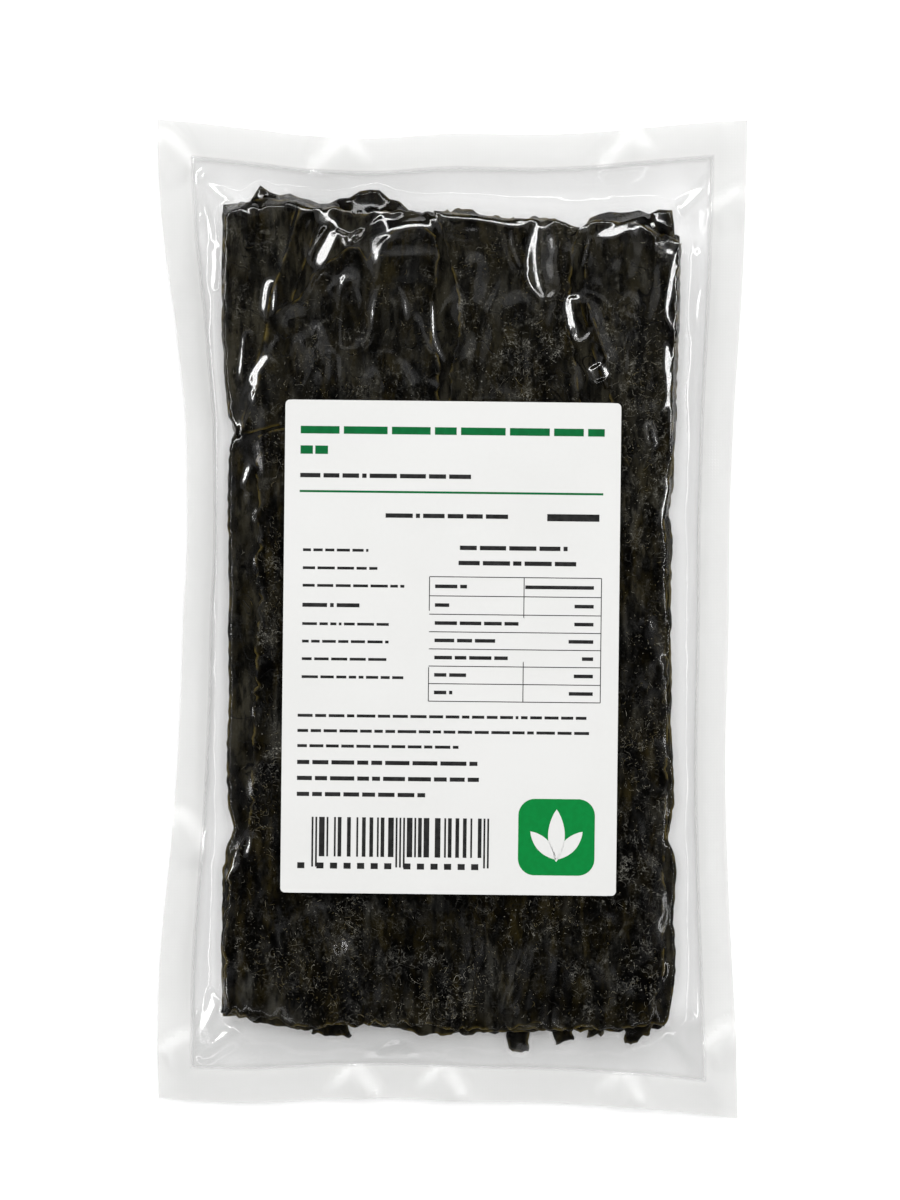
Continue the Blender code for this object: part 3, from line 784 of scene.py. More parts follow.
def pulled_tight(floor, pinned, pinned_height, sag, rounds=(160, 120, 100, 90)):
    """Height of a film that rests on floor, is held where pinned, and bends to a radius of sag."""
    film = None
    for level, count in zip((8, 4, 2, 1), rounds):
        rows, columns = (n // level * level for n in floor.shape)

        def coarse(field, take):
            blocks = field[:rows, :columns].reshape(rows // level, level, columns // level, level)
            return take(blocks, axis=(1, 3))

        low = coarse(floor, np.max) if level > 1 else floor
        held = coarse(pinned.astype(float), np.mean) > 0.5 if level > 1 else pinned
        held_at = coarse(pinned_height, np.mean) if level > 1 else pinned_height
        if film is None:
            film = np.maximum(low, held_at)
        else:
            film = np.kron(film, np.ones((2, 2)))
            film = np.pad(film, [(0, max(0, a - b)) for a, b in zip(low.shape, film.shape)], mode="edge")
            film = film[: low.shape[0], : low.shape[1]]
        pull = (level * MAP_STEP) ** 2 / (4 * (coarse(sag, np.mean) if level > 1 else sag))
        for _ in range(count):
            padded = np.pad(film, 1, mode="edge")
            around = (padded[:-2, 1:-1] + padded[2:, 1:-1] + padded[1:-1, :-2] + padded[1:-1, 2:]) / 4
            film = np.where(held, held_at, np.maximum(around - pull, low))
    return film


def film_map(height):
    """Height of the front film over the contents, creases included."""
    across, along = seal_shares(map_x, map_y)
    sealed = np.maximum(across, along) >= 0
    label_flat = crown(map_x, map_y) + 0.5 * LABEL_GAP
    floor = np.maximum(height + FILM_GAP, back_height(map_x, map_y) + 2 * FILM_PLY)
    floor = np.where(under_label(map_x, map_y, 0.6) > 0, np.maximum(floor, label_flat), floor)
    beside = smooth_step(beside_stack(map_x, map_y) / 3)
    sag = FILM_SAG + (FLANK_SAG - FILM_SAG) * beside
    sag = sag + (BOTTOM_SAG - sag) * smooth_step((-100.5 - map_y) / 2)
    film = pulled_tight(floor, sealed, seam_field + FILM_PLY / 2, sag)
    inside = smooth_step((-1.8 - np.where(map_y > 90, beside_sides(map_x), beside_stack(map_x, map_y))) / 2.5)
    inside = inside * smooth_step((109 - map_y) / 3)
    slack = blurred(film, 1.6)
    slack = slack + blurred(np.maximum(floor - slack, 0), 1.0) * 1.5
    film = film + (slack - film) * inside
    flank = bell(beside_stack(map_x, map_y) - 5, 3.5)
    film = film + 0.34 * flank * (0.7 - np.abs(noise(map_x, map_y, (6.0, 7.5), 99)))
    for path, width, steep in CREASES:
        film = film + ridge(map_x, map_y, path, width, CREASE_SLOPE * width, 0.5, steep)
    film = film + crinkles()
    for path, width, falls in FACETS:
        film = facet(film, floor, path, width, falls)
    return np.maximum(film, np.where(sealed, -np.inf, floor))


def crinkles():
    """Small curved creases that come and go over the kelp, clear of the label."""
    level = noise(map_x, map_y, (8, 13), 131)
    slope_y, slope_x = np.gradient(level, MAP_STEP)
    distance = np.abs(level) / np.maximum(np.hypot(slope_x, slope_y), 0.12)
    kept = smooth_step((noise(map_x, map_y, (9, 12), 132) - 0.35) / 0.5)
    kept = kept * (0.3 + 0.7 * smooth_step((map_y - 45) / 10)) * smooth_step(-under_label(map_x, map_y, 1.5) / 3)
    return 0.30 * bell(distance, 0.75) * kept * smooth_step((-3.0 - beside_stack(map_x, map_y)) / 3)


def beside_stack(x, y):
    """How far each point is outside the stack's outline; negative inside."""
    return np.maximum(np.maximum(-56.5 - x, x - 55.8), np.maximum(-102.5 - y, y - 103))


def beside_sides(x):
    return np.maximum(-56.5 - x, x - 55.8)


def polish_map():
    """Share of the film's full shine. Film on dusty kelp hardly shines, apart from the flat strips."""
    shine = 0.22 + 0.6 * smooth_step((beside_sides(map_x) - 2.5) / 1.5)
    border = bell(beside_stack(map_x, map_y) - 0.8, 2.4) * smooth_step((np.where(map_x < 0, 84, 44) - map_y) / 8)
    shine = shine + (1 - shine) * smooth_step((map_y - 40) / 10)
    corner = smooth_step((map_x - 50) / 2) * smooth_step((map_y - 93) / 2)
    shine = shine * (1 - 0.85 * border) * (1 - 0.65 * smooth_step((map_y - 92) / 3)) * (1 - 0.6 * corner)
    for path, width, _ in CREASES + FACETS:
        distance = near_path(map_x, map_y, path, 4)[0]
        shine = np.maximum(shine, smooth_step(1.8 - distance / max(width, 1.2)))
    across, along = seal_shares(map_x, map_y)
    return np.maximum(shine, smooth_step(1 + 12 * np.maximum(across, along)))


def back_height(x, y):
    """Height of the back film: flat under the stack, rising to the seam outside it."""
    left, right, bottom, top = seal_lines(x, y)
    beyond_x = np.maximum((-55 - x) / (-55 - left), (x - 54) / (right - 54))
    beyond_y = np.maximum((-100 - y) / (-100 - bottom), (y - 101) / (top - 101))
    beyond = np.clip(np.hypot(np.clip(beyond_x, 0, 1), np.clip(beyond_y, 0, 1)), 0, 1)
    waves = 0.30 * (0.7 - np.abs(noise(x, y, (7, 9), 97))) + 0.08 * noise(x, y, (2.6, 4.0), 98)
    return (seam_at(x, y) - FILM_PLY / 2) * beyond**1.5 + waves * beyond * (1 - beyond) * 4


def film_lines(low_cells, low_seal, high_cells):
    """Counted lines across a film: 2 is the outer edge, 1 the inner line of the seal."""
    seal = np.linspace(2, 1, low_seal + 1)[:-1]
    return np.concatenate([-seal, np.linspace(-1, 1, high_cells + 1), seal[::-1]])


def film_plan(columns, rows):
    """X and Y of a film's grid points, which follow the outer edges and the inner line of the seal."""
    across, along = np.meshgrid(columns, rows)
    x, y = across * 36.0, along * 60.0
    for _ in range(6):
        left, right, bottom, top = seal_lines(x, y)
        edges_x = [left_edge(y), left, right, right_edge(y)]
        edges_y = [bottom_edge(x), bottom, top, top_edge(x)]
        x, y = between(across, edges_x), between(along, edges_y)
    return x, y, across, along


def between(lines, places):
    """Places of counted lines, from the places of lines -2, -1, 1 and 2 at each point."""
    outer_low = places[0] + (lines + 2) * (places[1] - places[0])
    inner = places[1] + (lines + 1) / 2 * (places[2] - places[1])
    outer_high = places[2] + (lines - 1) * (places[3] - places[2])
    return np.where(lines < -1, outer_low, np.where(lines > 1, outer_high, inner))


def uneven(cells, dense_from, share):
    """Lines from -1 to 1, with this share of the cells beyond dense_from."""
    dense = int(cells * share)
    return np.concatenate([
        np.linspace(-1, dense_from, cells - dense + 1)[:-1],
        np.linspace(dense_from, 1, dense + 1),
    ])


def tent_milk_and_painted_shade(x, y, height):
    """Milkiness of the film beside the stack, which is greyer past its two ends: there its grey milk is painted shade,
    most of all past the bottom end, where it stands for the stack's shadow.
    """
    empty = smooth_step((blurred((height < 1).astype(float), 1.0) - 0.45) / 0.4)
    ends = smooth_step((np.abs(y) - 96) / 8)
    return (0.04 + np.where(y > 0, 0.20, 0.36) * ends) * read_map(empty, x, y)


def make_film(film, height):
    seal = np.linspace(2, 1, 15)[:-1]
    fine_x = np.concatenate([-seal, np.linspace(-1, 1, 259), seal[::-1]])
    fine_y = np.concatenate([-seal, uneven(300, 0.36, 0.46), seal[::-1]])
    x, y, across, along = film_plan(fine_x, fine_y)
    sealed = smooth_step((np.maximum(np.abs(across), np.abs(along)) - 1) / 0.12)
    inside = read_map(film, x, y)
    seam = seam_at(x, y) + FILM_PLY / 2
    z = np.where(np.maximum(np.abs(across), np.abs(along)) >= 1, seam, inside)
    rows, columns = x.shape
    points = np.stack([x, y, z], axis=-1).reshape(-1, 3)
    # Beside the stack the haze holds grey milk that is painted shade, most of all below the stack.
    haze = np.maximum(sealed, tent_milk_and_painted_shade(x, y, height))
    attributes = {"seal": sealed, "haze": haze, "gloss": read_map(polish_map(), x, y)}
    front = make_mesh("film_front", points, grid_faces(rows, columns), [clear_film], attributes)

    coarse_seal = np.linspace(2, 1, 9)[:-1]
    coarse_x = np.concatenate([-coarse_seal, np.linspace(-1, 1, 73), coarse_seal[::-1]])
    coarse_y = np.concatenate([-coarse_seal, np.linspace(-1, 1, 121), coarse_seal[::-1]])
    x, y, across, along = film_plan(coarse_x, coarse_y)
    sealed = smooth_step((np.maximum(np.abs(across), np.abs(along)) - 1) / 0.12)
    rows, columns = x.shape
    points = np.stack([x, y, back_height(x, y)], axis=-1).reshape(-1, 3)
    faces = grid_faces(rows, columns)[:, ::-1]
    # The back film carries the same painted shade in its grey milk beside the stack.
    haze = np.maximum(sealed, tent_milk_and_painted_shade(x, y, height))
    back = make_mesh("film_back", points, faces, [clear_film],
                     {"seal": sealed, "haze": haze, "gloss": np.full(x.shape, 0.35)})
    return front, back


# ---------------------------------------------------------------- label and print
def label_point(u, v):
    """Place on the pouch of a point in the label's own frame, from its centre."""
    cosine, sine = np.cos(LABEL_TURN), np.sin(LABEL_TURN)
    return LABEL_CENTRE[0] + u * cosine - v * sine, LABEL_CENTRE[1] + u * sine + v * cosine


def label_top(x, y):
    return crown(x, y) + LABEL_GAP + LABEL_PAPER


def make_label():
    rim = 1 - np.array([0, 0.001, 0.004, 0.008, 0.014])
    lines_u = np.concatenate([-rim, np.linspace(-0.98, 0.98, 57), rim[::-1]])
    lines_v = np.concatenate([-rim, np.linspace(-0.98, 0.98, 85), rim[::-1]])
    u, v = np.meshgrid(lines_u, lines_v)
    half_u, half_v = LABEL_WIDTH / 2, LABEL_LENGTH / 2
    u, v = u * half_u, v * half_v
    inner_u, inner_v = half_u - LABEL_CORNER, half_v - LABEL_CORNER
    corner = (np.abs(u) > inner_u) & (np.abs(v) > inner_v)
    over_u, over_v = (np.abs(u) - inner_u) / LABEL_CORNER, (np.abs(v) - inner_v) / LABEL_CORNER
    square, round_ = np.maximum(over_u, over_v), np.hypot(over_u, over_v) + 1e-9
    u = np.where(corner, np.sign(u) * (inner_u + LABEL_CORNER * over_u * square / round_), u)
    v = np.where(corner, np.sign(v) * (inner_v + LABEL_CORNER * over_v * square / round_), v)
    x, y = label_point(u, v)
    back = crown(x, y) + LABEL_GAP
    top = label_top(x, y)
    edge = np.zeros(x.shape, bool)
    edge[[0, -1]] = edge[:, [0, -1]] = True
    return closed_grid("label_paper", x, y, top, np.where(edge, top, back), [paper])


def slabs(name, shapes, material, lift=0.02, depth=0.02):
    """Flat printed shapes on the label as one mesh. Each is (u, v) corners of a quad strip's two sides."""
    points, faces = [], []
    for low, high in shapes:
        low, high = np.asarray(low, float), np.asarray(high, float)
        count = len(low)
        start = len(points)
        for z in (lift, lift - depth):
            for row in (low, high):
                x, y = label_point(row[:, 0], row[:, 1])
                points.extend(zip(x, y, label_top(x, y) + z))
        top_low, top_high = start, start + count
        back_low, back_high = start + 2 * count, start + 3 * count
        for k in range(count - 1):
            faces.append((top_low + k, top_low + k + 1, top_high + k + 1, top_high + k))
            faces.append((back_low + k, back_high + k, back_high + k + 1, back_low + k + 1))
            faces.append((back_low + k, back_low + k + 1, top_low + k + 1, top_low + k))
            faces.append((top_high + k, top_high + k + 1, back_high + k + 1, back_high + k))
        faces.append((top_low, top_high, back_high, back_low))
        end = count - 1
        faces.append((top_low + end, back_low + end, back_high + end, top_high + end))
    return make_mesh(name, points, faces, [material], smooth=False)


def bar(left, right, v, height):
    """A straight printed bar, centred on v."""
    steps = max(2, int((right - left) / 5) + 2)
    u = np.linspace(left, right, steps)
    return np.stack([u, u * 0 + v - height / 2], 1), np.stack([u, u * 0 + v + height / 2], 1)


def words(left, right, v, height, seed, average=4.6):
    """A line of print as plain bars of word length."""
    rng = np.random.default_rng(seed)
    letter = height * 0.62
    bars, start = [], left
    while start < right - letter:
        length = letter * np.clip(rng.normal(average, 2.2), 1.5, 10)
        end = min(start + length, right)
        if right - end < 2.2 * letter:
            end = right
        bars.append(bar(start, end, v, height))
        start = end + 0.62 * letter + 0.35
    return bars


def stripes(left, right, bottom, top):
    """Upright stripes of uneven width, with longer guard stripes at both ends and in the middle."""
    rng = np.random.default_rng(8)
    module = (right - left) / 95
    bars, place, k = [], 0, 0
    while place < 95:
        guard = place < 3 or place >= 92 or 45 <= place < 50
        width = 1 if guard else int(rng.integers(1, 4))
        gap = 1 if guard else int(rng.integers(1, 4))
        limit = 45 if place < 45 else 92
        if not guard and place + width > limit:
            width = limit - place
        low = bottom - (2.6 if guard else 0)
        a, b = left + place * module, left + (place + width) * module
        bars.append((np.array([(a, low), (b, low)]), np.array([(a, top), (b, top)])))
        place += width + gap
        if not guard and place > limit:
            place = limit
        k += 1
    return bars


def disc_strip(points_low, points_high):
    return np.asarray(points_low, float), np.asarray(points_high, float)


def make_print():
    left = -38.2
    black, green = [], []
    green += words(left, 38.0, 54.3, 1.9, 1, 7.5)
    green.append(bar(left, left + 3.1, 49.3, 2.1))
    green.append(bar(left + 3.7, left + 6.9, 49.3, 2.1))
    rule = [bar(left - 0.1, 37.8, 38.9, 0.55)]
    black += words(left, 4.6, 42.9, 1.1, 2, 7)
    black += words(-16.7, 14.0, 33.0, 1.1, 3, 7)
    black += words(23.8, 36.9, 32.9, 1.8, 4, 12)
    for k, (v, end) in enumerate([(24.2, 17.3), (19.7, 19.6), (15.3, 26.4), (10.4, 15.2), (5.7, 23.6),
                                  (1.3, 22.6), (-3.1, 22.1), (-7.6, 26.4)]):
        black += words(left + 0.9, left + end, v, 1.0 if k == 3 else 0.7, 10 + k, 7)
    black += words(2.0, 29.0, 25.1, 1.1, 20, 7)
    black += words(1.7, 31.2, 21.3, 1.1, 21, 7)
    table_left, table_right, divider = -5.5, 37.6, 18.2
    rows = [17.8, 13.0, 8.4, 4.0, -0.3, -4.6, -9.0, -13.4]
    black += [bar(table_left, table_right, v, 0.22) for v in rows]
    for u in (table_left, divider, table_right):
        black.append((
            np.array([(u - 0.11, rows[-1]), (u + 0.11, rows[-1])]),
            np.array([(u - 0.11, rows[0]), (u + 0.11, rows[0])]),
        ))
    names, amounts = [8, 3.6, 21, 15.2, 18.4, 8, 4.6], [17.2, 4.8, 4.8, 6.2, 2.8, 4.8, 6.0]
    for k, (high, low) in enumerate(zip(rows, rows[1:])):
        v = (high + low) / 2
        black += words(table_left + 1.4, table_left + 1.4 + names[k], v, 0.9, 30 + k, 8)
        black.append(bar(table_right - 1.9 - amounts[k], table_right - 1.9, v, 0.9))
    for k, (v, end) in enumerate([(-17.3, 72.4), (-21.1, 73.1), (-24.9, 40.4)]):
        black += words(left, left + end, v, 0.75, 50 + k, 7)
    for k, (v, end) in enumerate([(-29.0, 45.2), (-33.0, 45.6), (-37.0, 32.2)]):
        black += words(left, left + end, v, 1.05, 60 + k, 7)
    black += stripes(-34.4, 10.1, -52.6, -42.7)
    for group, count in ((-37.0, 1), (-32.2, 6), (-10.4, 6)):
        for k in range(count):
            black.append(bar(group + 3.4 * k - 0.9, group + 3.4 * k + 0.9, -54.9, 1.5))
    return slabs("print_black", black, ink_black), slabs("print_green", green, ink_dark_green), slabs("print_rule", rule, ink_dark_green)


def make_badge():
    """A plain leaf mark in a rounded square."""
    centre, half, corner = np.array([27.0, -47.2]), 9.6, 4.2
    steps = np.linspace(-1, 1, 41)
    u = half * np.sin(steps * np.pi / 2)
    over = np.clip((np.abs(u) - (half - corner)) / corner, 0, 1)
    v = half - corner + corner * np.sqrt(1 - over**2)
    low = np.stack([u, -v], 1) + centre
    high = np.stack([u, v], 1) + centre
    badge = slabs("label_badge", [(low, high)], ink_green)

    def leaf(length, width, turn, base):
        t = np.linspace(0, 1, 15)
        bulge = width * np.sin(np.pi * t) ** 0.8
        along = t * length
        cosine, sine = np.cos(turn), np.sin(turn)
        sides = []
        for sign in (1, -1):
            across = sign * bulge
            sides.append(np.stack([across * cosine - along * sine, across * sine + along * cosine], 1) + centre + base)
        return sides[0], sides[1]

    marks = [
        leaf(13.2, 2.1, 0.0, (0, -6.2)),
        leaf(9.6, 1.7, 0.75, (0, -5.6)),
        leaf(9.6, 1.7, -0.75, (0, -5.6)),
    ]
    motif = slabs("label_leaf", marks, paper, lift=0.04)
    return badge, motif


# ---------------------------------------------------------------- materials
def new_material(name):
    """A material with its node tree, a function that adds nodes, and one that links sockets."""
    material = bpy.data.materials.new(name)
    material.use_nodes = True
    tree = material.node_tree
    tree.nodes.clear()

    def add(kind, **values):
        node = tree.nodes.new("ShaderNode" + kind)
        for key, value in values.items():
            if key in node.inputs:
                node.inputs[key].default_value = value
            else:
                setattr(node, key, value)
        return node

    return material, add, tree.links.new


def band(add, link, source, low, high, to_low=0.0, to_high=1.0):
    """source, mapped smoothly from low..high to to_low..to_high."""
    node = add("MapRange", interpolation_type="SMOOTHSTEP")
    for key, value in (("From Min", low), ("From Max", high), ("To Min", to_low), ("To Max", to_high)):
        node.inputs[key].default_value = value
    link(source, node.inputs["Value"])
    return node.outputs["Result"]


def math(add, link, operation, a, b):
    node = add("Math", operation=operation)
    for socket, value in zip(node.inputs, (a, b)):
        if isinstance(value, (int, float)):
            socket.default_value = value
        else:
            link(value, socket)
    return node.outputs[0]


def mix_colour(add, link, share, a, b):
    node = add("Mix", data_type="RGBA")
    for socket, value in ((node.inputs[0], share), (node.inputs[6], a), (node.inputs[7], b)):
        if isinstance(value, (int, float)):
            socket.default_value = value
        elif isinstance(value, tuple):
            socket.default_value = (*value, 1)
        else:
            link(value, socket)
    return node.outputs[2]


def textured(add, link, kind, scale, coords, offset=(0, 0, 0), **values):
    """A texture node of this scale on the piece's own coordinates."""
    mapping = add("Mapping")
    mapping.inputs["Location"].default_value = offset
    link(coords, mapping.inputs["Vector"])
    node = add(kind, **values)
    node.inputs["Scale"].default_value = scale
    link(mapping.outputs[0], node.inputs["Vector"])
    return node


def kelp_material():
    material, add, link = new_material("dried_kelp")
    coords = add("TexCoord").outputs["Object"]
    rim = add("Attribute", attribute_name="rim").outputs["Fac"]
    bloom = add("Attribute", attribute_name="bloom").outputs["Fac"]
    pale = add("Attribute", attribute_name="pale").outputs["Fac"]
    # Marks the pleats' crests for a painted highlight and their hollows for a painted shade.
    vein_highlight_and_shade = add("Attribute", attribute_name="vein_highlight_and_shade").outputs["Fac"]

    def strokes(scale, width, seed, patch, softness=0.12):
        """Curly fibres: thin level lines of a noise, cut up by another."""
        lines = textured(add, link, "TexNoise", scale, coords, (seed, seed / 2, 0), Detail=2.5, Distortion=0.8)
        level = math(add, link, "ABSOLUTE", math(add, link, "SUBTRACT", lines.outputs["Fac"], 0.5), 0)
        thin = band(add, link, level, 0, width, 1, 0)
        cut = textured(add, link, "TexNoise", scale * 0.35, coords, (seed / 3, seed, 0), Detail=2.0)
        kept = band(add, link, cut.outputs["Fac"], patch, patch + softness)
        return math(add, link, "MULTIPLY", thin, kept)

    cloud = textured(add, link, "TexNoise", 55, coords, (3, 1, 0), Detail=9.0, Roughness=0.68)
    cloudy = band(add, link, cloud.outputs["Fac"], 0.47, 0.66)
    fine = math(add, link, "MAXIMUM", strokes(520, 0.026, 1.3, 0.50, 0.10), strokes(900, 0.036, 7.1, 0.50, 0.10))
    long = math(add, link, "MAXIMUM", strokes(250, 0.011, 4.7, 0.50, 0.08), strokes(340, 0.014, 2.2, 0.52, 0.08))
    uneven_tone = textured(add, link, "TexNoise", 700, coords, (8, 3, 0), Detail=2.0)
    fibres = math(add, link, "MULTIPLY", math(add, link, "MAXIMUM", fine, long),
                  band(add, link, uneven_tone.outputs["Fac"], 0.35, 0.65, 0.3, 1.0))
    # Tiny pale dots painted onto the kelp as glints: painted highlights.
    glint_cells = textured(add, link, "TexVoronoi", 800, coords, (5, 2, 0), feature="F1")
    dot = band(add, link, glint_cells.outputs["Distance"], 0.10, 0.20, 1, 0)
    picked = add("SeparateColor")
    link(glint_cells.outputs["Color"], picked.inputs[0])
    painted_glint_dots = math(add, link, "MULTIPLY", dot, band(add, link, picked.outputs[0], 0.50, 0.80))
    streaks = add("Mapping")
    streaks.inputs["Scale"].default_value = (3.2, 1, 1)
    link(coords, streaks.inputs["Vector"])
    veil = add("TexNoise", Detail=5.0, Roughness=0.55)
    veil.inputs["Scale"].default_value = 60
    link(streaks.outputs[0], veil.inputs["Vector"])
    haze = band(add, link, veil.outputs["Fac"], 0.50, 0.78, 0.0, 0.050)
    # The specks are the real fibre strokes together with the painted glint dots.
    specks = math(add, link, "MAXIMUM", fibres, painted_glint_dots)
    spread = math(add, link, "ADD", math(add, link, "MULTIPLY", cloudy, 0.34), 0.04)
    grey = math(add, link, "ADD", math(add, link, "MULTIPLY", specks, spread), haze)
    grey = math(add, link, "MULTIPLY", grey, bloom)

    tone = textured(add, link, "TexNoise", 95, coords, (9, 4, 0), Detail=6.0, Roughness=0.6)
    dark = band(add, link, tone.outputs["Fac"], 0.42, 0.66)
    base = mix_colour(add, link, dark, (0.0003, 0.0002, 0.0001), (0.0054, 0.0041, 0.0011))
    grain_lines = add("Mapping")
    grain_lines.inputs["Scale"].default_value = (3.6, 1, 1)
    link(coords, grain_lines.inputs["Vector"])
    brown = textured(add, link, "TexNoise", 75, grain_lines.outputs[0], (2, 8, 0), Detail=7.0, Roughness=0.62)
    browned = band(add, link, brown.outputs["Fac"], 0.47, 0.72, 0, 0.78)
    base = mix_colour(add, link, browned, base, (0.0185, 0.0140, 0.0040))
    smooth_leaf = textured(add, link, "TexNoise", 60, grain_lines.outputs[0], (7, 5, 0), Detail=6.0)
    smooth_share = math(add, link, "MULTIPLY", pale, band(add, link, smooth_leaf.outputs["Fac"], 0.38, 0.64, 0.05, 1.0))
    base = mix_colour(add, link, smooth_share, base, (0.0260, 0.0235, 0.0155))
    cracked = math(add, link, "SUBTRACT", 1.0, strokes(120, 0.012, 2.9, 0.46, 0.06))
    # A pale line painted along the pleats' crests: a painted highlight.
    painted_crest_highlight = math(add, link, "MULTIPLY", math(add, link, "MAXIMUM", vein_highlight_and_shade, 0), 0.13)
    painted_crest_highlight = math(add, link, "MULTIPLY", painted_crest_highlight, band(add, link, uneven_tone.outputs["Fac"], 0.40, 0.60, 0.1, 1.0))
    grey = math(add, link, "MAXIMUM", grey, painted_crest_highlight)
    bloomed = mix_colour(add, link, grey, base, (0.345, 0.336, 0.292))
    # The pleats' hollows painted near black: painted shade.
    painted_hollow_shade = math(add, link, "MAXIMUM", math(add, link, "MULTIPLY", vein_highlight_and_shade, -0.9), 0)
    bloomed = mix_colour(add, link, painted_hollow_shade, bloomed, (0.0003, 0.0003, 0.0002))
    bloomed = mix_colour(add, link, cracked, (0.0003, 0.0003, 0.0002), bloomed)
    deep = textured(add, link, "TexNoise", 130, grain_lines.outputs[0], (4, 9, 0), Detail=7.0, Roughness=0.65)
    deepened = band(add, link, deep.outputs["Fac"], 0.40, 0.56, 0.85, 0.0)
    bloomed = mix_colour(add, link, deepened, bloomed, (0.0002, 0.0002, 0.0001))
    worn = textured(add, link, "TexNoise", 260, coords, (6, 6, 0), Detail=3.0)
    edge = math(add, link, "MULTIPLY", rim, band(add, link, worn.outputs["Fac"], 0.44, 0.62))
    colour = mix_colour(add, link, edge, bloomed, (0.078, 0.058, 0.012))

    surface = add("BsdfPrincipled", Roughness=0.42, Metallic=0.0)
    surface.inputs["Specular IOR Level"].default_value = 0.10
    link(colour, surface.inputs["Base Color"])
    wrinkle = textured(add, link, "TexNoise", 420, coords, (1, 7, 0), Detail=5.0, Roughness=0.6)
    relief_height = math(add, link, "ADD", wrinkle.outputs["Fac"], math(add, link, "MULTIPLY", specks, 0.3))
    relief_height = math(add, link, "ADD", relief_height, math(add, link, "MULTIPLY", cracked, 0.5))
    bump = add("Bump")
    bump.inputs["Strength"].default_value = 0.35
    bump.inputs["Distance"].default_value = 0.0005
    link(relief_height, bump.inputs["Height"])
    link(bump.outputs["Normal"], surface.inputs["Normal"])
    link(band(add, link, wrinkle.outputs["Fac"], 0.3, 0.7, 0.22, 0.36), surface.inputs["Roughness"])
    output = add("OutputMaterial")
    link(surface.outputs[0], output.inputs["Surface"])
    return material


def fibre_material():
    material, add, link = new_material("kelp_fibres")
    tone = add("Attribute", attribute_name="tone").outputs["Fac"]
    warm = add("Attribute", attribute_name="warm").outputs["Fac"]
    pale = mix_colour(add, link, tone, (0.033, 0.029, 0.020), (0.61, 0.59, 0.50))
    colour = mix_colour(add, link, math(add, link, "MULTIPLY", warm, 0.8), pale, (0.14, 0.105, 0.025))
    surface = add("BsdfPrincipled", Roughness=0.5, Metallic=0.0)
    link(colour, surface.inputs["Base Color"])
    output = add("OutputMaterial")
    link(surface.outputs[0], output.inputs["Surface"])
    return material


def film_material():
    material, add, link = new_material("clear_film")
    coords = add("TexCoord").outputs["Object"]
    seal = add("Attribute", attribute_name="seal").outputs["Fac"]
    # The haze attribute is the seal's real milkiness, and beside the stack it is grey milk that is painted shade.
    milk_and_painted_shade = add("Attribute", attribute_name="haze").outputs["Fac"]
    glossiness = add("Attribute", attribute_name="gloss").outputs["Fac"]
    clear = add("BsdfTransparent")
    clear.inputs["Color"].default_value = (1, 1, 1, 1)

    threads = textured(add, link, "TexNoise", 1500, coords, (4, 2, 0), Detail=2.0)
    ribs = []
    for direction, offset in (("X", 0), ("Y", 3)):
        ribs.append(textured(add, link, "TexWave", 420, coords, (offset, 1, 0), wave_type="BANDS",
                             bands_direction=direction, wave_profile="SIN", Distortion=0.6))
    rough = math(add, link, "MULTIPLY", seal, band(add, link, threads.outputs["Fac"], 0.35, 0.65, -0.03, 0.05))
    rough = math(add, link, "ADD", rough, 0.10)
    height = math(add, link, "MULTIPLY", ribs[0].outputs["Fac"], ribs[1].outputs["Fac"])
    height = math(add, link, "ADD", height, math(add, link, "MULTIPLY", threads.outputs["Fac"], 0.35))
    height = math(add, link, "MULTIPLY", height, seal)
    bump = add("Bump")
    bump.inputs["Strength"].default_value = 0.5
    bump.inputs["Distance"].default_value = 0.00014
    link(height, bump.inputs["Height"])

    gloss = add("BsdfGlossy")
    gloss.inputs["Color"].default_value = (1, 1, 1, 1)
    link(rough, gloss.inputs["Roughness"])
    link(bump.outputs["Normal"], gloss.inputs["Normal"])
    facing = add("LayerWeight")
    facing.inputs["Blend"].default_value = 0.5
    link(bump.outputs["Normal"], facing.inputs["Normal"])
    grazing = math(add, link, "POWER", facing.outputs["Facing"], 5.0)
    shine = math(add, link, "ADD", math(add, link, "MULTIPLY", grazing, 0.9), 0.12)
    shine = math(add, link, "MULTIPLY", shine, glossiness)
    glossy = add("MixShader")
    link(shine, glossy.inputs[0])
    link(clear.outputs[0], glossy.inputs[1])
    link(gloss.outputs[0], glossy.inputs[2])

    milk = add("BsdfDiffuse")
    # Away from the seal the milk is grey, so the thicker milk past the stack's ends paints shade onto the film there.
    link(mix_colour(add, link, seal, (0.45, 0.45, 0.445), (0.738, 0.738, 0.730)), milk.inputs["Color"])
    lit = add("MixShader")
    link(add("LightPath").outputs["Is Shadow Ray"], lit.inputs[0])
    link(glossy.outputs[0], lit.inputs[1])
    link(clear.outputs[0], lit.inputs[2])
    hazy = add("MixShader")
    haze = math(add, link, "ADD", math(add, link, "MULTIPLY", milk_and_painted_shade, 0.48), 0.0003)
    link(haze, hazy.inputs[0])
    link(lit.outputs[0], hazy.inputs[1])
    link(milk.outputs[0], hazy.inputs[2])
    output = add("OutputMaterial")
    link(hazy.outputs[0], output.inputs["Surface"])
    return material


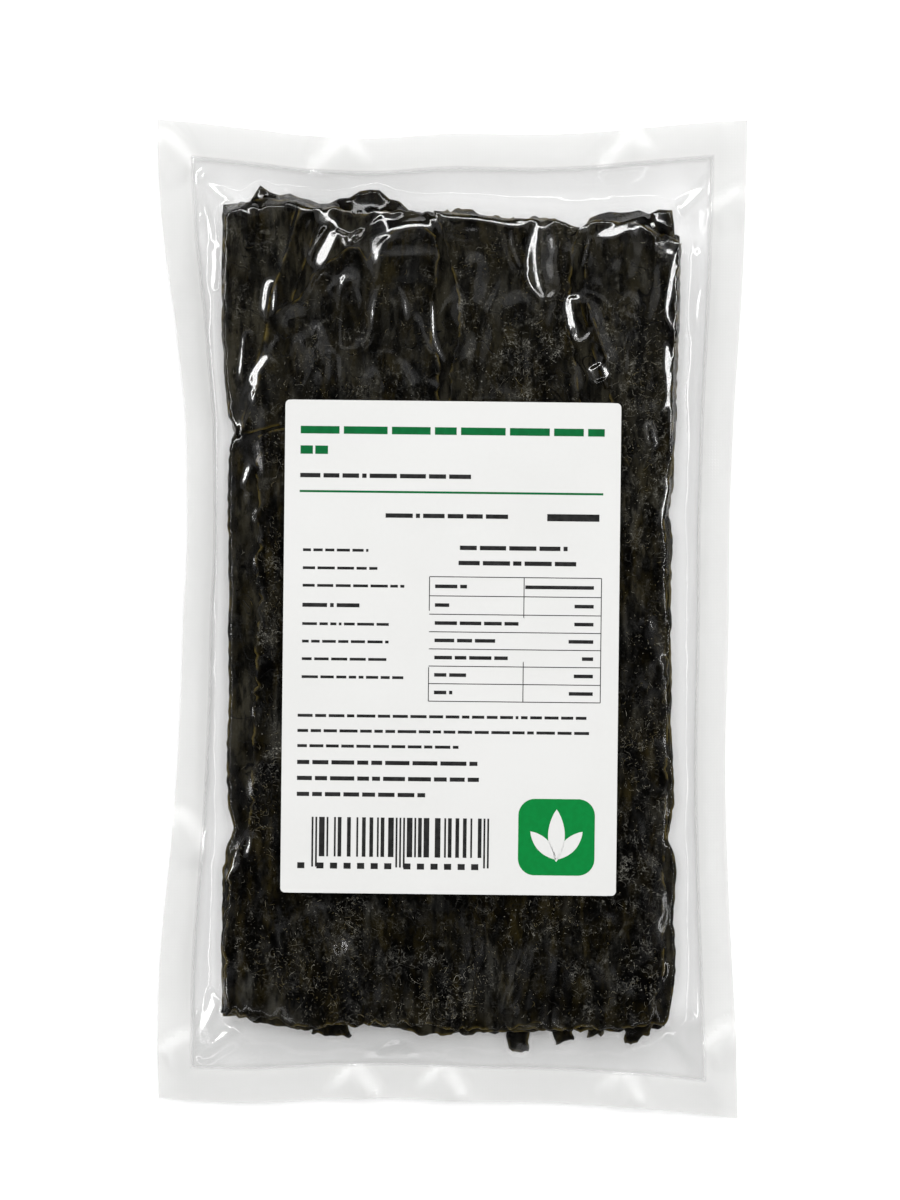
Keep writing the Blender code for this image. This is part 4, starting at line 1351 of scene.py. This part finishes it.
def paper_material():
    material, add, link = new_material("label_paper")
    coords = add("TexCoord").outputs["Object"]
    fibre = textured(add, link, "TexNoise", 900, coords, Detail=4.0)
    cloud = textured(add, link, "TexNoise", 45, coords, (2, 2, 0), Detail=2.0)
    shade = math(add, link, "ADD", math(add, link, "MULTIPLY", fibre.outputs["Fac"], 0.4), cloud.outputs["Fac"])
    colour = mix_colour(add, link, band(add, link, shade, 0.4, 1.0), (0.636, 0.636, 0.624), (0.656, 0.656, 0.645))
    surface = add("BsdfPrincipled", Roughness=0.42, Metallic=0.0)
    link(colour, surface.inputs["Base Color"])
    bump = add("Bump")
    bump.inputs["Strength"].default_value = 0.15
    bump.inputs["Distance"].default_value = 0.0001
    link(shade, bump.inputs["Height"])
    link(bump.outputs["Normal"], surface.inputs["Normal"])
    output = add("OutputMaterial")
    link(surface.outputs[0], output.inputs["Surface"])
    return material


def ink_material(name, light, dark):
    """Matt ink that is a little uneven."""
    material, add, link = new_material(name)
    coords = add("TexCoord").outputs["Object"]
    patchy = textured(add, link, "TexNoise", 700, coords, Detail=3.0)
    colour = mix_colour(add, link, band(add, link, patchy.outputs["Fac"], 0.35, 0.65), dark, light)
    surface = add("BsdfPrincipled", Roughness=0.5, Metallic=0.0)
    surface.inputs["Specular IOR Level"].default_value = 0.12
    link(colour, surface.inputs["Base Color"])
    output = add("OutputMaterial")
    link(surface.outputs[0], output.inputs["Surface"])
    return material


kelp = kelp_material()
fibre_stuff = fibre_material()
clear_film = film_material()
paper = paper_material()
ink_black = ink_material("ink_black", (0.022, 0.022, 0.022), (0.012, 0.012, 0.012))
ink_green = ink_material("ink_green", (0.002, 0.185, 0.036), (0.002, 0.168, 0.032))
ink_dark_green = ink_material("ink_dark_green", (0.003, 0.118, 0.032), (0.003, 0.100, 0.027))


# ---------------------------------------------------------------- the stage
def make_floor():
    bpy.ops.mesh.primitive_plane_add(size=8, location=(0, 0, -0.0002))
    floor = bpy.context.object
    floor.name = "floor"
    material, add, link = new_material("pale_floor")
    surface = add("BsdfPrincipled", Roughness=0.9, Metallic=0.0)
    surface.inputs["Base Color"].default_value = (0.93, 0.93, 0.93, 1)
    output = add("OutputMaterial")
    link(surface.outputs[0], output.inputs["Surface"])
    floor.data.materials.append(material)


# Softboxes round the pouch: (name, azimuth from the far side, share of the full radiance)
SOFTBOXES = [
    ("key", 0, 0.8), ("far_right", 45, 0.9), ("right", 90, 0.85), ("near_right", 135, 0.25),
    ("near", 180, 0.16), ("near_left", 225, 0.35), ("left", 270, 0.85), ("far_left", 315, 0.85),
]
# Each is a bright core in two dimmer ones, so that it fades: (elevation, width, height, radiance)
SOFTBOX_PARTS = [(34, 2.0, 0.36, 9.0), (36, 2.0, 0.8, 0.5), (48, 2.5, 1.8, 0.10)]
LIGHT_DISTANCE = 2.9


def add_softbox(name, azimuth, elevation, width, height, radiance):
    lamp = bpy.data.lights.new(name, "AREA")
    lamp.shape = "RECTANGLE"
    lamp.size, lamp.size_y = width, height
    lamp.energy = radiance * np.pi * width * height
    holder = bpy.data.objects.new(name, lamp)
    bpy.context.scene.collection.objects.link(holder)
    turn, rise = np.radians(azimuth), np.radians(elevation)
    place = Vector((np.cos(rise) * np.sin(turn), np.cos(rise) * np.cos(turn), np.sin(rise)))
    holder.location = LIGHT_DISTANCE * place
    holder.rotation_euler = (-place).to_track_quat("-Z", "Y").to_euler()
    return holder


def make_studio():
    make_floor()
    for name, azimuth, share in SOFTBOXES:
        for k, (elevation, width, height, radiance) in enumerate(SOFTBOX_PARTS):
            add_softbox(f"{name}_{k}", azimuth, elevation, width, height, share * radiance)
    overhead = add_softbox("overhead", 0, 84, 1.7, 1.7, 5.9)
    overhead.visible_glossy = False
    world = bpy.data.worlds.new("studio")
    world.use_nodes = True
    world.node_tree.nodes["Background"].inputs["Color"].default_value = (1, 1, 1, 1)
    world.node_tree.nodes["Background"].inputs["Strength"].default_value = 0.005
    bpy.context.scene.world = world
    bpy.context.scene.view_settings.view_transform = "Standard"

    camera = bpy.data.cameras.new("camera")
    camera.sensor_fit = "VERTICAL"
    camera.sensor_height = 36
    distance, seen = 1.2, 0.3038
    camera.lens = camera.sensor_height * distance / seen
    holder = bpy.data.objects.new("camera", camera)
    holder.location = (-0.0006, 0.0048, distance)
    bpy.context.scene.collection.objects.link(holder)
    bpy.context.scene.camera = holder


make_studio()
blades = kelp_blades()
rests, height, dusted = stack_map(blades)
kelp_pieces = [*make_kelp(blades, rests), make_fibres(height, dusted)]
film = film_map(height)
film_front, film_back = make_film(film, height)
label = make_label()
printed = [*make_print(), *make_badge()]

for piece in (*kelp_pieces, film_front, film_back, label, *printed):
    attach(piece, "root")
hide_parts("pouch")
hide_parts("label")
